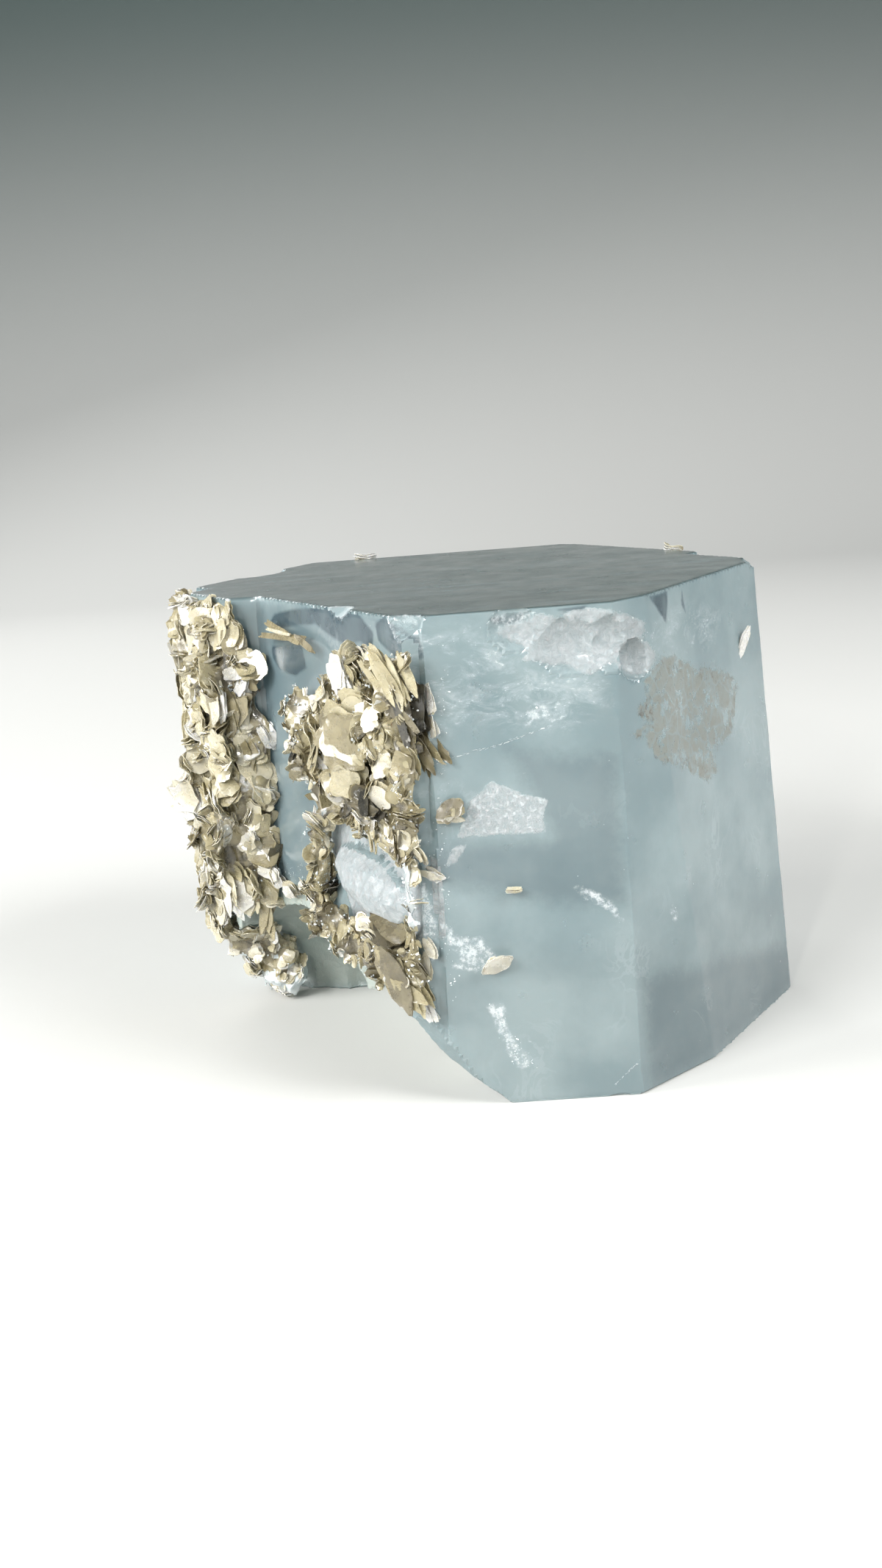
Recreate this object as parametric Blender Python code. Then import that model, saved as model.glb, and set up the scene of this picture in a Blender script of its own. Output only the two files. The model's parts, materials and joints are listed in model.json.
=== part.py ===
"""Aquamarine crystal: a stubby beryl prism grown as three joined columns, with muscovite mica
crusted over its left edge and its front left edge, and loose mica flakes standing on its faces.

Run with: blender --background --python part.py. Metres, +Z up along the crystal's long axis.
The prism's front face looks along -Y. The crystal stands on the flat break at its foot.
"""

import math
import random

import bmesh
import bpy
from mathutils import Matrix, Vector

MM = 0.001

# Driving dimensions of the beryl, in millimetres. Sides count anticlockwise seen from above,
# from side 0, the front one. Each column is six distances from the crystal's axis to its sides,
# true at the top; the foot is wider by the taper. Places on a side are given as (along, height,
# out): along it, up from the foot, and out from the crystal's axis.
SIDE_ANGLE = math.radians(60)
COLUMNS = {
    "main_column": {"sides": (30.8, 18.0, 28.5, 33.4, 33.3, 20.5), "top": 47.2},
    "right_column": {"sides": (31.2, 29.9, 26.2, 25.2, 20.0, 19.0), "top": 47.2},
    "left_column": {"sides": (3.0, -10.0, -5.0, 18.0, 30.0, 23.6), "top": 46.9},
}
TAPER = 0.055
CRYSTAL_TOP = 47.2
FOOT_DEPTH = 3.0  # how far the columns are made below the foot, before it is cut flat
GROWTH_GAP = 0.3  # between the mica and the beryl

# Breaks in the beryl: hollows scooped out by ellipsoids, as (side, middle, radii, roundness) ...
SCOOPS = {
    "hollow": (5, (-1.0, 0.0, 24.0), (17.0, 14.4, 15.3), 3),
    "hollow_left": (5, (-12.6, 1.0, 23.8), (7.8, 8.5, 9.2), 2),
    "hollow_right": (5, (16.6, 0.5, 20.5), (8.4, 9.6, 7.5), 2),
    "hollow_middle": (5, (-7.0, 0.5, 13.6), (5.2, 7.0, 5.5), 2),
    "spall_left": (0, (4.4, 45.6, 32.9), (3.4, 3.4, 2.3), 2),
    "spall_middle": (0, (9.6, 43.6, 33.0), (4.6, 3.9, 2.5), 2),
    "spall_right": (0, (13.9, 43.6, 32.4), (3.3, 3.2, 2.3), 2),
    "spall_round": (0, (16.0, 41.5, 29.6), (2.2, 2.0, 1.7), 2),
    "chip_top_left": (5, (11.0, 47.9, 22.4), (3.2, 1.9, 3.6), 2),
    "chip_top_corner": (0, (-6.6, 47.6, 31.6), (3.2, 2.9, 2.6), 2),
    "chip_foot_right": (1, (-13.5, -0.8, 33.4), (5.2, 2.0, 2.8), 2),
    "chip_foot_front": (0, (12.0, -0.8, 34.4), (3.4, 1.7, 2.0), 2),
    "chip_foot_back": (3, (4.0, -0.8, 36.0), (8.0, 5.6, 4.6), 2),
    "chip_top_back": (4, (-8.0, 47.9, 34.0), (5.0, 3.4, 3.2), 2),
    "chip_foot_side": (2, (4.0, -1.4, 31.2), (6.4, 5.6, 4.4), 2),
}
# ... and corners broken off flat: (a point on the break, its outward direction).
FLAT_BREAKS = {
    "break_front_foot": ((1.2, -32.6, 0.0), (-0.62, -0.24, -0.75)),
    "break_front_edge": ((-4.8, -32.4, 7.1), (-0.695, -0.60, -0.397)),
    "break_left_foot": ((-26.0, 5.7, 0.0), (-0.82, -0.20, -0.53)),
    "break_left_side": ((-29.4, 6.0, 12.0), (-0.965, -0.10, -0.24)),
    "break_right_shoulder": ((30.2, -6.4, 46.9), (0.60, -0.05, 0.80)),
    "side_narrow": ((31.9, -4.0, 23.6), (1.0, 0.0, 0.042)),
    "edge_front_right": ((15.4, -30.45, 23.6), (0.7071, -0.7071, 0.030)),
    "side_right": ((26.0, -15.0, 23.6), (0.866, -0.5, 0.060)),
    "break_back_shoulder": ((15.5, 31.5, 47.0), (0.42, 0.62, 0.66)),
}
# A low frosted boss of beryl that stands out of side 5, close to the front left edge.
BOSS = {"middle": (15.4, 20.2, 20.2), "radii": (9.0, 3.9, 3.4), "tilt": -7.0}

# Mica. A crust's pads are plates lying on a side, as (side, its distance, outline of (along, height)).
PAD_THICKNESS = 1.0
BELT_PADS = [
    (5, 20.5, ((23.6, 43.8), (12.8, 43.4), (8.4, 39.8), (4.2, 36.0), (4.4, 30.4), (9.0, 26.2),
               (14.0, 25.2), (23.6, 23.8))),
    (5, 20.9, ((9.2, 28.4), (6.4, 28.0), (4.8, 21.2), (2.6, 20.0), (2.6, 14.2), (8.6, 13.4),
               (15.4, 12.8), (22.0, 11.6), (24.6, 11.0), (24.4, 15.8), (15.0, 15.4), (8.8, 15.4),
               (6.4, 16.6), (7.4, 21.8))),
    (0, 31.0, ((-7.3, 44.0), (-7.5, 10.0), (-6.2, 10.2), (-6.2, 16.2), (-6.6, 22.0), (-5.4, 26.5),
               (-5.6, 31.0), (-4.8, 34.8), (-4.6, 38.5), (-5.8, 42.0))),
]
RIM_PADS = [
    (5, 23.6, ((-22.0, 46.4), (-22.4, 22.0), (-21.0, 10.6), (-17.4, 7.0), (-13.6, 11.0),
               (-9.6, 16.6), (-9.6, 46.0))),
    (0, 3.0, ((-25.4, 46.2), (-25.4, 13.6), (-23.2, 13.2), (-22.2, 22.0), (-22.8, 36.0),
              (-23.6, 44.6))),
    (4, 30.0, ((9.0, 44.0), (5.6, 43.4), (4.6, 34.0), (6.4, 24.0), (9.2, 20.4))),
]
# Books are thick six-sided mica plates standing out of a crust, scattered along runs:
# (side, its distance, start, end, spread, size, count), start and end as (along, height).
BELT_RUNS = [
    (5, 20.5, (16.0, 42.8), (13.4, 28.0), (6.2, 1.0), 1.0, 36),
    (5, 20.5, (22.4, 42.6), (22.8, 26.4), (1.2, 1.0), 0.9, 12),
    (5, 20.5, (3.4, 37.6), (4.4, 29.6), (1.2, 1.0), 1.15, 7),
    (5, 20.9, (7.2, 27.0), (5.2, 17.0), (0.7, 0.8), 0.65, 8),
    (5, 20.9, (3.8, 15.6), (23.2, 13.4), (1.0, 1.4), 0.85, 18),
    (0, 31.0, (-6.2, 43.0), (-6.2, 27.6), (0.5, 1.2), 0.62, 9),
    (0, 31.0, (-6.9, 24.6), (-6.6, 11.6), (0.3, 1.0), 0.42, 6),
]
RIM_RUNS = [
    (5, 23.6, (-12.6, 43.8), (-12.4, 15.0), (2.4, 1.2), 1.0, 24),
    (5, 23.6, (-18.5, 43.6), (-17.9, 10.0), (2.1, 1.2), 0.95, 26),
    (4, 30.0, (7.6, 41.6), (8.4, 22.0), (1.0, 1.0), 0.38, 12),
    (0, 3.0, (-22.9, 42.6), (-22.4, 15.4), (0.7, 1.0), 0.6, 12),
]
BOOK_RADIUS = (1.5, 3.0)
BOOK_FLATTENING = (0.62, 0.95)
BOOK_THICKNESS = (0.45, 1.1)
BOOK_LEAN = math.radians(62)  # the most that a book leans away from lying flat on its side
BOOK_LIFT = (0.1, 1.2)
# Where the left crust runs on into the hollow: the middles of the books there.
RIM_TAIL = [(-29.0, 4.8, 11.6), (-28.4, 4.0, 9.4), (-27.0, 2.0, 9.8), (-27.8, 3.4, 7.0),
            (-25.4, 1.6, 8.2), (-26.4, 3.0, 5.0), (-24.4, 2.4, 5.6), (-24.9, 3.0, 3.4),
            (-23.0, 2.8, 2.8)]

# Flakes that stand alone, as (side, its distance, middle (along, height, out from the side),
# turn, lean and spin in degrees, radii and thickness).
LOOSE_FLAKES = {
    "muscovite_flake_front": (0, 31.2, (1.1, 13.8, 0.85), (15, -40, 10), (1.6, 1.1, 0.4)),
    "muscovite_flake_beside_belt": (0, 31.2, (-1.2, 28.8, 0.8), (-25, -35, 40), (1.35, 1.0, 0.4)),
    "muscovite_sliver_front": (0, 31.2, (2.9, 21.2, 0.65), (10, -62, 0), (0.75, 0.45, 0.3)),
    "muscovite_sliver_left": (5, 20.5, (0.0, 43.9, 1.2), (0, -68, 4), (4.3, 0.85, 0.45)),
    "muscovite_flake_right_edge": (1, 29.7, (7.6, 38.6, 0.35), (0, 16, 78), (2.6, 1.1, 0.4)),
    "muscovite_flake_back_left": (3, 33.4, (12.4, 46.2, 1.0), (20, -35, 15), (1.9, 1.3, 0.5)),
    "muscovite_flake_back_right": (2, 28.5, (1.6, 45.8, 0.9), (-15, -40, 30), (2.0, 1.2, 0.5)),
}

COLOURS = {
    "beryl": ((0.46, 0.62, 0.66, 1.0), 0.08),
    "mica": ((0.50, 0.43, 0.29, 1.0), 0.35),
}


def side_normal(side):
    """Outward direction of one prism side."""
    angle = math.radians(-90) + side * SIDE_ANGLE
    return Vector((math.cos(angle), math.sin(angle), 0.0))


def side_frame(side):
    """Frame of a side at the crystal's axis: local x runs along it, y up, and z outwards."""
    normal = side_normal(side)
    along = Vector((-normal.y, normal.x, 0.0))
    return Matrix((along, (0.0, 0.0, 1.0), normal)).transposed().to_4x4()


def side_surface(side, distance):
    """Frame that lies in a tapered side, the way that the frame of the side does."""
    lean = math.atan(distance * TAPER / CRYSTAL_TOP)
    return (side_frame(side) @ Matrix.Translation((0.0, 0.0, distance * (1 + TAPER) * MM))
            @ Matrix.Rotation(-lean, 4, "X"))


def facing_matrix(middle, direction, turn=0.0):
    """Frame at a point, local z along direction, turned about it."""
    facing = Vector(direction).to_track_quat("Z", "Y").to_matrix().to_4x4()
    return Matrix.Translation(Vector(middle) * MM) @ facing @ Matrix.Rotation(turn, 4, "Z")


def new_collection(name):
    collection = bpy.data.collections.new(name)
    bpy.context.scene.collection.children.link(collection)
    return collection


def new_material(name):
    colour, roughness = COLOURS[name]
    material = bpy.data.materials.new(name)
    material.use_nodes = True
    shader = material.node_tree.nodes["Principled BSDF"]
    shader.inputs["Base Color"].default_value = colour
    shader.inputs["Roughness"].default_value = roughness
    return material


def add_object(name, mesh, collection, matrix=None):
    made = bpy.data.objects.new(name, mesh)
    made.matrix_world = matrix or Matrix.Identity(4)
    collection.objects.link(made)
    return made


def as_helper(made):
    """Marks a cutter or a piece that is only joined into another."""
    made.hide_render = True
    made.display_type = "WIRE"
    return made


def outline_mesh(name, outline, thickness):
    """A flat outline in local x and y, thickened equally to both sides."""
    curve = bpy.data.curves.new(name, "CURVE")
    curve.dimensions = "2D"
    curve.fill_mode = "BOTH"
    curve.extrude = thickness * MM / 2
    spline = curve.splines.new("POLY")
    spline.points.add(len(outline) - 1)
    for point, (x, y) in zip(spline.points, outline):
        point.co = (x * MM, y * MM, 0.0, 1.0)
    spline.use_cyclic_u = True
    spline.use_smooth = False
    drawn = bpy.data.objects.new(name, curve)
    bpy.context.scene.collection.objects.link(drawn)
    graph = bpy.context.evaluated_depsgraph_get()
    mesh = bpy.data.meshes.new_from_object(drawn.evaluated_get(graph))
    bpy.data.objects.remove(drawn)
    bpy.data.curves.remove(curve)
    shape = bmesh.new()
    shape.from_mesh(mesh)
    bmesh.ops.remove_doubles(shape, verts=shape.verts, dist=0.0001 * MM)
    bmesh.ops.recalc_face_normals(shape, faces=shape.faces)
    shape.to_mesh(mesh)
    shape.free()
    return mesh


def column_outline(sides, grow):
    """The corners of a six-sided column, each where one side meets the next."""
    outline = []
    for side, near in enumerate(sides):
        distance = near + grow
        following = sides[(side + 1) % 6] + grow
        reach = (following - distance * math.cos(SIDE_ANGLE)) / math.sin(SIDE_ANGLE)
        normal = side_normal(side)
        outline.append((normal.x * distance - normal.y * reach,
                        normal.y * distance + normal.x * reach))
    return outline


def add_column(name, collection, grow):
    column = COLUMNS[name]
    top = column["top"] + grow
    mesh = outline_mesh(name, column_outline(column["sides"], grow), top + FOOT_DEPTH)
    for vertex in mesh.vertices:
        if vertex.co.z < 0:
            widening = 1 + TAPER * (top + FOOT_DEPTH) / CRYSTAL_TOP
            vertex.co.x *= widening
            vertex.co.y *= widening
    return add_object(name, mesh, collection,
                      Matrix.Translation((0.0, 0.0, (top - FOOT_DEPTH) / 2 * MM)))


def add_ellipsoid(name, matrix, radii, roundness, collection):
    shape = bmesh.new()
    bmesh.ops.create_icosphere(shape, subdivisions=roundness, radius=1.0)
    bmesh.ops.scale(shape, vec=Vector(radii) * MM, verts=shape.verts)
    mesh = bpy.data.meshes.new(name)
    shape.to_mesh(mesh)
    shape.free()
    return as_helper(add_object(name, mesh, collection, matrix))


def add_half_space(name, point, direction, collection, size=80.0):
    """A big cube whose near face lies on the break, so that it cuts off what is beyond."""
    shape = bmesh.new()
    bmesh.ops.create_cube(shape, size=size * MM)
    bmesh.ops.translate(shape, vec=(0.0, 0.0, size * MM / 2), verts=shape.verts)
    mesh = bpy.data.meshes.new(name)
    shape.to_mesh(mesh)
    shape.free()
    return as_helper(add_object(name, mesh, collection, facing_matrix(point, direction)))


def add_boss(collection, grow):
    place = (side_frame(5) @ Matrix.Translation(Vector(BOSS["middle"]) * MM)
             @ Matrix.Rotation(math.radians(BOSS["tilt"]), 4, "Z"))
    radii = [radius + grow for radius in BOSS["radii"]]
    return add_ellipsoid("boss", place, radii, 2, collection)


def combine(target, operation, collection):
    modifier = target.modifiers.new(operation.title(), "BOOLEAN")
    modifier.operation = operation
    modifier.operand_type = "COLLECTION"
    modifier.collection = collection
    modifier.solver = "EXACT"


def add_beryl(name, collection, helpers, grow=0.0):
    """The prism: its columns and boss joined, then its breaks cut. grow moves every surface
    outwards by that much, which is how the mica keeps its gap."""
    joined = bpy.data.collections.new(name + "_joined")
    breaks = bpy.data.collections.new(name + "_breaks")
    helpers.children.link(joined)
    helpers.children.link(breaks)
    body = add_column("main_column", collection, grow)
    body.name = name
    as_helper(add_column("right_column", joined, grow))
    as_helper(add_column("left_column", joined, grow))
    add_boss(joined, grow)
    for scoop, (side, middle, radii, roundness) in SCOOPS.items():
        place = side_frame(side) @ Matrix.Translation(Vector(middle) * MM)
        add_ellipsoid(scoop, place, [radius - grow for radius in radii], roundness, breaks)
    for cut, (point, direction) in FLAT_BREAKS.items():
        outwards = Vector(direction).normalized()
        add_half_space(cut, Vector(point) + outwards * grow, outwards, breaks)
    add_half_space("foot", (0.0, 0.0, -grow), (0.0, 0.0, -1.0), breaks, size=120.0)
    combine(body, "UNION", joined)
    combine(body, "DIFFERENCE", breaks)
    return body


def book_mesh():
    """One six-sided plate of radius and thickness 1, which each book scales."""
    shape = bmesh.new()
    bmesh.ops.create_cone(shape, cap_ends=True, segments=6, radius1=1.0, radius2=0.94, depth=1.0)
    mesh = bpy.data.meshes.new("mica_book")
    shape.to_mesh(mesh)
    shape.free()
    return mesh


def add_book(name, mesh, matrix, size, collection):
    return add_object(name, mesh, collection, matrix @ Matrix.Diagonal((*(Vector(size) * MM), 1.0)))


def book_size(chance, scale):
    radius = chance.uniform(*BOOK_RADIUS) * scale
    return radius, radius * chance.uniform(*BOOK_FLATTENING), chance.uniform(*BOOK_THICKNESS)


def scatter_books(mesh, runs, chance, collection):
    for side, distance, start, end, spread, scale, count in runs:
        for step in range(count):
            share = (step + 0.5) / count
            along = start[0] + (end[0] - start[0]) * share + chance.uniform(-1, 1) * spread[0]
            height = start[1] + (end[1] - start[1]) * share + chance.uniform(-1, 1) * spread[1]
            lift = GROWTH_GAP + PAD_THICKNESS / 2 + chance.uniform(*BOOK_LIFT)
            lean = Matrix.Rotation(chance.uniform(0.2, 1.0) * BOOK_LEAN, 4, "X")
            matrix = (side_surface(side, distance)
                      @ Matrix.Translation(Vector((along, height, lift)) * MM)
                      @ Matrix.Rotation(chance.uniform(0, math.tau), 4, "Z")
                      @ lean
                      @ Matrix.Rotation(chance.uniform(0, math.tau), 4, "Z"))
            as_helper(add_book("book", mesh, matrix, book_size(chance, scale), collection))


def tail_books(mesh, middles, chance, collection):
    for middle in middles:
        direction = Vector((chance.uniform(-0.8, -0.1), chance.uniform(-1.0, -0.2),
                            chance.uniform(-0.4, 0.6)))
        matrix = facing_matrix(middle, direction, chance.uniform(0, math.tau))
        radius = BOOK_RADIUS[1] * chance.uniform(0.8, 0.95)
        size = (radius, radius * BOOK_FLATTENING[1], BOOK_THICKNESS[1] * 1.5)
        as_helper(add_book("tail_book", mesh, matrix, size, collection))


def add_crust(name, pads, runs, tail, seed, mesh, room, collection, helpers):
    """A mica crust: its pads and books joined, then cut back from the beryl."""
    chance = random.Random(seed)
    joined = bpy.data.collections.new(name + "_joined")
    helpers.children.link(joined)
    places = [side_surface(side, distance + GROWTH_GAP) for side, distance, _ in pads]
    meshes = [outline_mesh(name, outline, PAD_THICKNESS * 2) for _, _, outline in pads]
    crust = add_object(name, meshes[0], collection, places[0])
    for place, pad in zip(places[1:], meshes[1:]):
        as_helper(add_object("pad", pad, joined, place))
    scatter_books(mesh, runs, chance, joined)
    tail_books(mesh, tail, chance, joined)
    combine(crust, "UNION", joined)
    combine(crust, "DIFFERENCE", room)
    return settle(crust)


def shell_of(start):
    """Every corner that hangs together with this one."""
    found = {start}
    waiting = [start]
    while waiting:
        for edge in waiting.pop().link_edges:
            for corner in edge.verts:
                if corner not in found:
                    found.add(corner)
                    waiting.append(corner)
    return found


def shell_volume(shell):
    volume = 0.0
    for face in {face for corner in shell for face in corner.link_faces}:
        first, *others = [corner.co for corner in face.verts]
        for second, third in zip(others, others[1:]):
            volume += first.dot(second.cross(third)) / 6
    return volume


def settle(part):
    """Fixes the joins and cuts in the mesh and keeps the outer skin of the biggest lump, without
    the crumbs cut loose or the pockets closed in between the plates."""
    graph = bpy.context.evaluated_depsgraph_get()
    mesh = bpy.data.meshes.new_from_object(part.evaluated_get(graph))
    shape = bmesh.new()
    shape.from_mesh(mesh)
    left = set(shape.verts)
    shells = []
    while left:
        shell = shell_of(next(iter(left)))
        left -= shell
        shells.append((shell_volume(shell), len(shells), shell))
    shells.sort()
    dropped = [corner for _, _, shell in shells[:-1] for corner in shell]
    bmesh.ops.delete(shape, geom=dropped, context="VERTS")
    shape.to_mesh(mesh)
    shape.free()
    part.modifiers.clear()
    part.data = mesh
    return part


def add_loose_flakes(mesh, room, collection):
    flakes = []
    for name, (side, distance, middle, angles, size) in LOOSE_FLAKES.items():
        turn, lean, spin = map(math.radians, angles)
        matrix = (side_surface(side, distance) @ Matrix.Translation(Vector(middle) * MM)
                  @ Matrix.Rotation(turn, 4, "Z") @ Matrix.Rotation(lean, 4, "X")
                  @ Matrix.Rotation(spin, 4, "Z"))
        shape = bmesh.new()
        shape.from_mesh(mesh)
        bmesh.ops.scale(shape, vec=Vector(size) * MM, verts=shape.verts)
        plate = bpy.data.meshes.new(name)
        shape.to_mesh(plate)
        shape.free()
        flake = add_object(name, plate, collection, matrix)
        combine(flake, "DIFFERENCE", room)
        flakes.append(settle(flake))
    return flakes


def stand_on_origin(parts):
    """Moves the whole object so that the middle of its box's underside is the origin."""
    bpy.context.view_layer.update()
    graph = bpy.context.evaluated_depsgraph_get()
    points = []
    for part in parts:
        shown = part.evaluated_get(graph)
        points += [shown.matrix_world @ vertex.co for vertex in shown.data.vertices]
    low = Vector(map(min, *points))
    high = Vector(map(max, *points))
    middle = (low + high) / 2
    shift = Matrix.Translation((-middle.x, -middle.y, -low.z))
    for made in bpy.data.objects:
        made.matrix_world = shift @ made.matrix_world


def main():
    for leftover in list(bpy.data.objects):
        bpy.data.objects.remove(leftover)
    specimen = new_collection("aquamarine_specimen")
    helpers = new_collection("cutters")
    room = bpy.data.collections.new("room_for_beryl")
    helpers.children.link(room)
    beryl = add_beryl("aquamarine_crystal", specimen, helpers)
    as_helper(add_beryl("grown_beryl", room, helpers, grow=GROWTH_GAP))
    book = book_mesh()
    belt = add_crust("muscovite_front_belt", BELT_PADS, BELT_RUNS, [], 11, book, room,
                     specimen, helpers)
    rim = add_crust("muscovite_left_rim", RIM_PADS, RIM_RUNS, RIM_TAIL, 5, book, room,
                    specimen, helpers)
    flakes = add_loose_flakes(book, room, specimen)
    settle(beryl).data.materials.append(new_material("beryl"))
    mica = new_material("mica")
    for part in (belt, rim, *flakes):
        part.data.materials.append(mica)
    stand_on_origin([beryl, belt, rim, *flakes])


main()
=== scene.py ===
import contextlib
import functools
import json
import math
import bpy
import numpy as np
from mathutils import Matrix, Vector, noise
from mathutils.bvhtree import BVHTree

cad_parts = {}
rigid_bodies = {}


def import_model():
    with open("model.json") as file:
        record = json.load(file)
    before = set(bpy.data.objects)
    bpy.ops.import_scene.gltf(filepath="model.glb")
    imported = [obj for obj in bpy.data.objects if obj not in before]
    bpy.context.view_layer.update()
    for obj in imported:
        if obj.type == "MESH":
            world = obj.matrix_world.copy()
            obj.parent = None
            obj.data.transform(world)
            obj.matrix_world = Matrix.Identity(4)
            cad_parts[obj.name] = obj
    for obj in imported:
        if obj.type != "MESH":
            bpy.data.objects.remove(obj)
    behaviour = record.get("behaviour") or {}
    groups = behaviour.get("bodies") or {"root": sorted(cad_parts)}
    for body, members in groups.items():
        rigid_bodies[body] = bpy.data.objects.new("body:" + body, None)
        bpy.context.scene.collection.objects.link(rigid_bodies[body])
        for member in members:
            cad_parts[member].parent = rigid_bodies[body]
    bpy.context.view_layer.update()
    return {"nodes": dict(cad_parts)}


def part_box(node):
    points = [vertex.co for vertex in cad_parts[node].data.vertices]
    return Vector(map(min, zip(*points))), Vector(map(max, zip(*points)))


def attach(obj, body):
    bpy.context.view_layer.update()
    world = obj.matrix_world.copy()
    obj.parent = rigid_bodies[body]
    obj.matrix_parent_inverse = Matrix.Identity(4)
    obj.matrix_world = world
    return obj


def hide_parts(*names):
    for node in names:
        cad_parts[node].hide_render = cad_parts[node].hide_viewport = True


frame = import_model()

mm = 0.001

# the prism's measures in mm; its sides are numbered from the front one, 60 degrees apart
prism = {
    "axis": (0.658, -0.352, 0.0),       # where its own axis meets the floor
    "leftReach": 20.5, "taper": 0.055,  # how far out its left front side stands at the top, and how much more below
    "top": 47.2, "leftTop": 46.9,       # the ends of the prism and of its left column
    # each natural face's slope inwards
    "faces": {0: 0.036, 0.75: 0.030, 1: 0.060, 1.5: 0.042, 2: 0.030, 3: 0.039, 4: 0.037, 5: 0.024},
}


def sideWays(side):
    # out of a side and along it
    turn = math.radians(-90 + 60 * side)
    return Vector((math.cos(turn), math.sin(turn), 0)), Vector((-math.sin(turn), math.cos(turn), 0))


def onSide(side, along, height, out):
    # mm along a side, up it, and out from the prism's axis
    outward, sideways = sideWays(side)
    return Vector(prism["axis"]) + sideways * along + outward * out + Vector((0, 0, height))


def unit(ways):
    return ways / np.linalg.norm(ways, axis=-1, keepdims=True)


def fromAxis(points):
    # the level way out from the prism's axis
    return unit((points - np.array(prism["axis"])) * (1, 1, 0))


def pickOnly(*pieces):
    for item in list(bpy.context.selected_objects):
        item.select_set(False)
    for piece in pieces:
        piece.select_set(True)
        bpy.context.view_layer.objects.active = piece


def pickParts(mesh, kind, test):
    # nothing but the faces or edges that pass
    for parts in (mesh.vertices, mesh.edges, mesh.polygons):
        parts.foreach_set("select", [False] * len(parts))
    for part in getattr(mesh, kind):
        part.select = test(part)


def useModifier(piece, kind, **settings):
    pickOnly(piece)
    modifier = piece.modifiers.new(kind.lower(), kind)
    for name, value in settings.items():
        setattr(modifier, name, value)
    bpy.ops.object.modifier_apply(modifier=modifier.name)


@contextlib.contextmanager
def editMode():
    bpy.ops.object.mode_set(mode="EDIT")
    yield
    bpy.ops.object.mode_set(mode="OBJECT")


def smoothBelow(piece, degrees):
    pickOnly(piece)
    bpy.ops.object.shade_smooth_by_angle(angle=math.radians(degrees))


def putObject(name, data):
    item = bpy.data.objects.new(name, data)
    bpy.context.scene.collection.objects.link(item)
    return item


def copyOfNode(node, name):
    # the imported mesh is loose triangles, so a copy is merged before anything else
    piece = putObject(name, frame["nodes"][node].data.copy())
    piece.data.materials.clear()
    pickOnly(piece)
    with editMode():
        bpy.ops.mesh.select_all(action="SELECT")
        bpy.ops.mesh.remove_doubles(threshold=1e-6)
    return piece


def readPoints(piece):
    # its vertices in mm and their normals
    count = len(piece.data.vertices)
    points, normals = np.empty(count * 3), np.empty(count * 3, np.float32)
    piece.data.vertices.foreach_get("co", points)
    piece.data.vertex_normals.foreach_get("vector", normals)
    return points.reshape(-1, 3) / mm, normals.reshape(-1, 3).astype(float)


def writePoints(piece, points):
    piece.data.vertices.foreach_set("co", np.ascontiguousarray(points * mm).ravel())
    piece.data.update()


def treeOf(piece):
    return BVHTree.FromPolygons([v.co / mm for v in piece.data.vertices],
                                [p.vertices[:] for p in piece.data.polygons])


def addAttribute(piece, name, values):
    kind = "FLOAT" if values.ndim == 1 else "FLOAT_VECTOR"
    attribute = piece.data.attributes.new(name, kind, "POINT")
    attribute.data.foreach_set("value" if values.ndim == 1 else "vector", values.astype(np.float32).ravel())


def lumps(points, size, seed=0.0):
    # noise from -1 to 1 with lumps of the given size in mm
    shift = Vector((seed, -seed, seed * 2))
    return np.array([noise.noise(Vector(p) / size + shift) for p in points])


def finishPiece(piece, slot, *nodes):
    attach(piece, "root")
    if nodes:
        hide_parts(*nodes)


def hexColour(code):
    channels = [int(code[i:i + 2], 16) / 255 for i in (1, 3, 5)]
    return tuple(c / 12.92 if c <= 0.04045 else ((c + 0.055) / 1.055) ** 2.4 for c in channels) + (1.0,)


def addNode(tree, kind, inputs=None, stops=None, **settings):
    # inputs go by name or number, each a value, a hex colour, or the node or socket that feeds it
    node = tree.nodes.new("ShaderNode" + kind)
    for name, value in settings.items():
        setattr(node, name, value)
    for name, value in (inputs or {}).items():
        usable = [socket for socket in node.inputs if socket.enabled]
        socket = usable[name] if isinstance(name, int) else next(s for s in usable if s.name == name)
        if isinstance(value, bpy.types.Node):
            value = next(s for s in value.outputs if s.enabled)
        if isinstance(value, bpy.types.NodeSocket):
            tree.links.new(value, socket)
        else:
            socket.default_value = hexColour(value) if isinstance(value, str) else value
    if stops:
        elements = node.color_ramp.elements
        while len(elements) < len(stops):
            elements.new(0.5)
        for element, (position, colour) in zip(elements, stops):
            element.position, element.color = position, hexColour(colour)
    return node


def startMaterial(name):
    # gives addNode for its tree, and Object coordinates in mm
    material = bpy.data.materials.new(name)
    material.use_nodes = True
    material.node_tree.nodes.clear()
    add = functools.partial(addNode, material.node_tree)
    place = add("Mapping", {"Vector": add("TexCoord").outputs["Object"], "Scale": (1000, 1000, 1000)})
    return material, add, place


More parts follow.
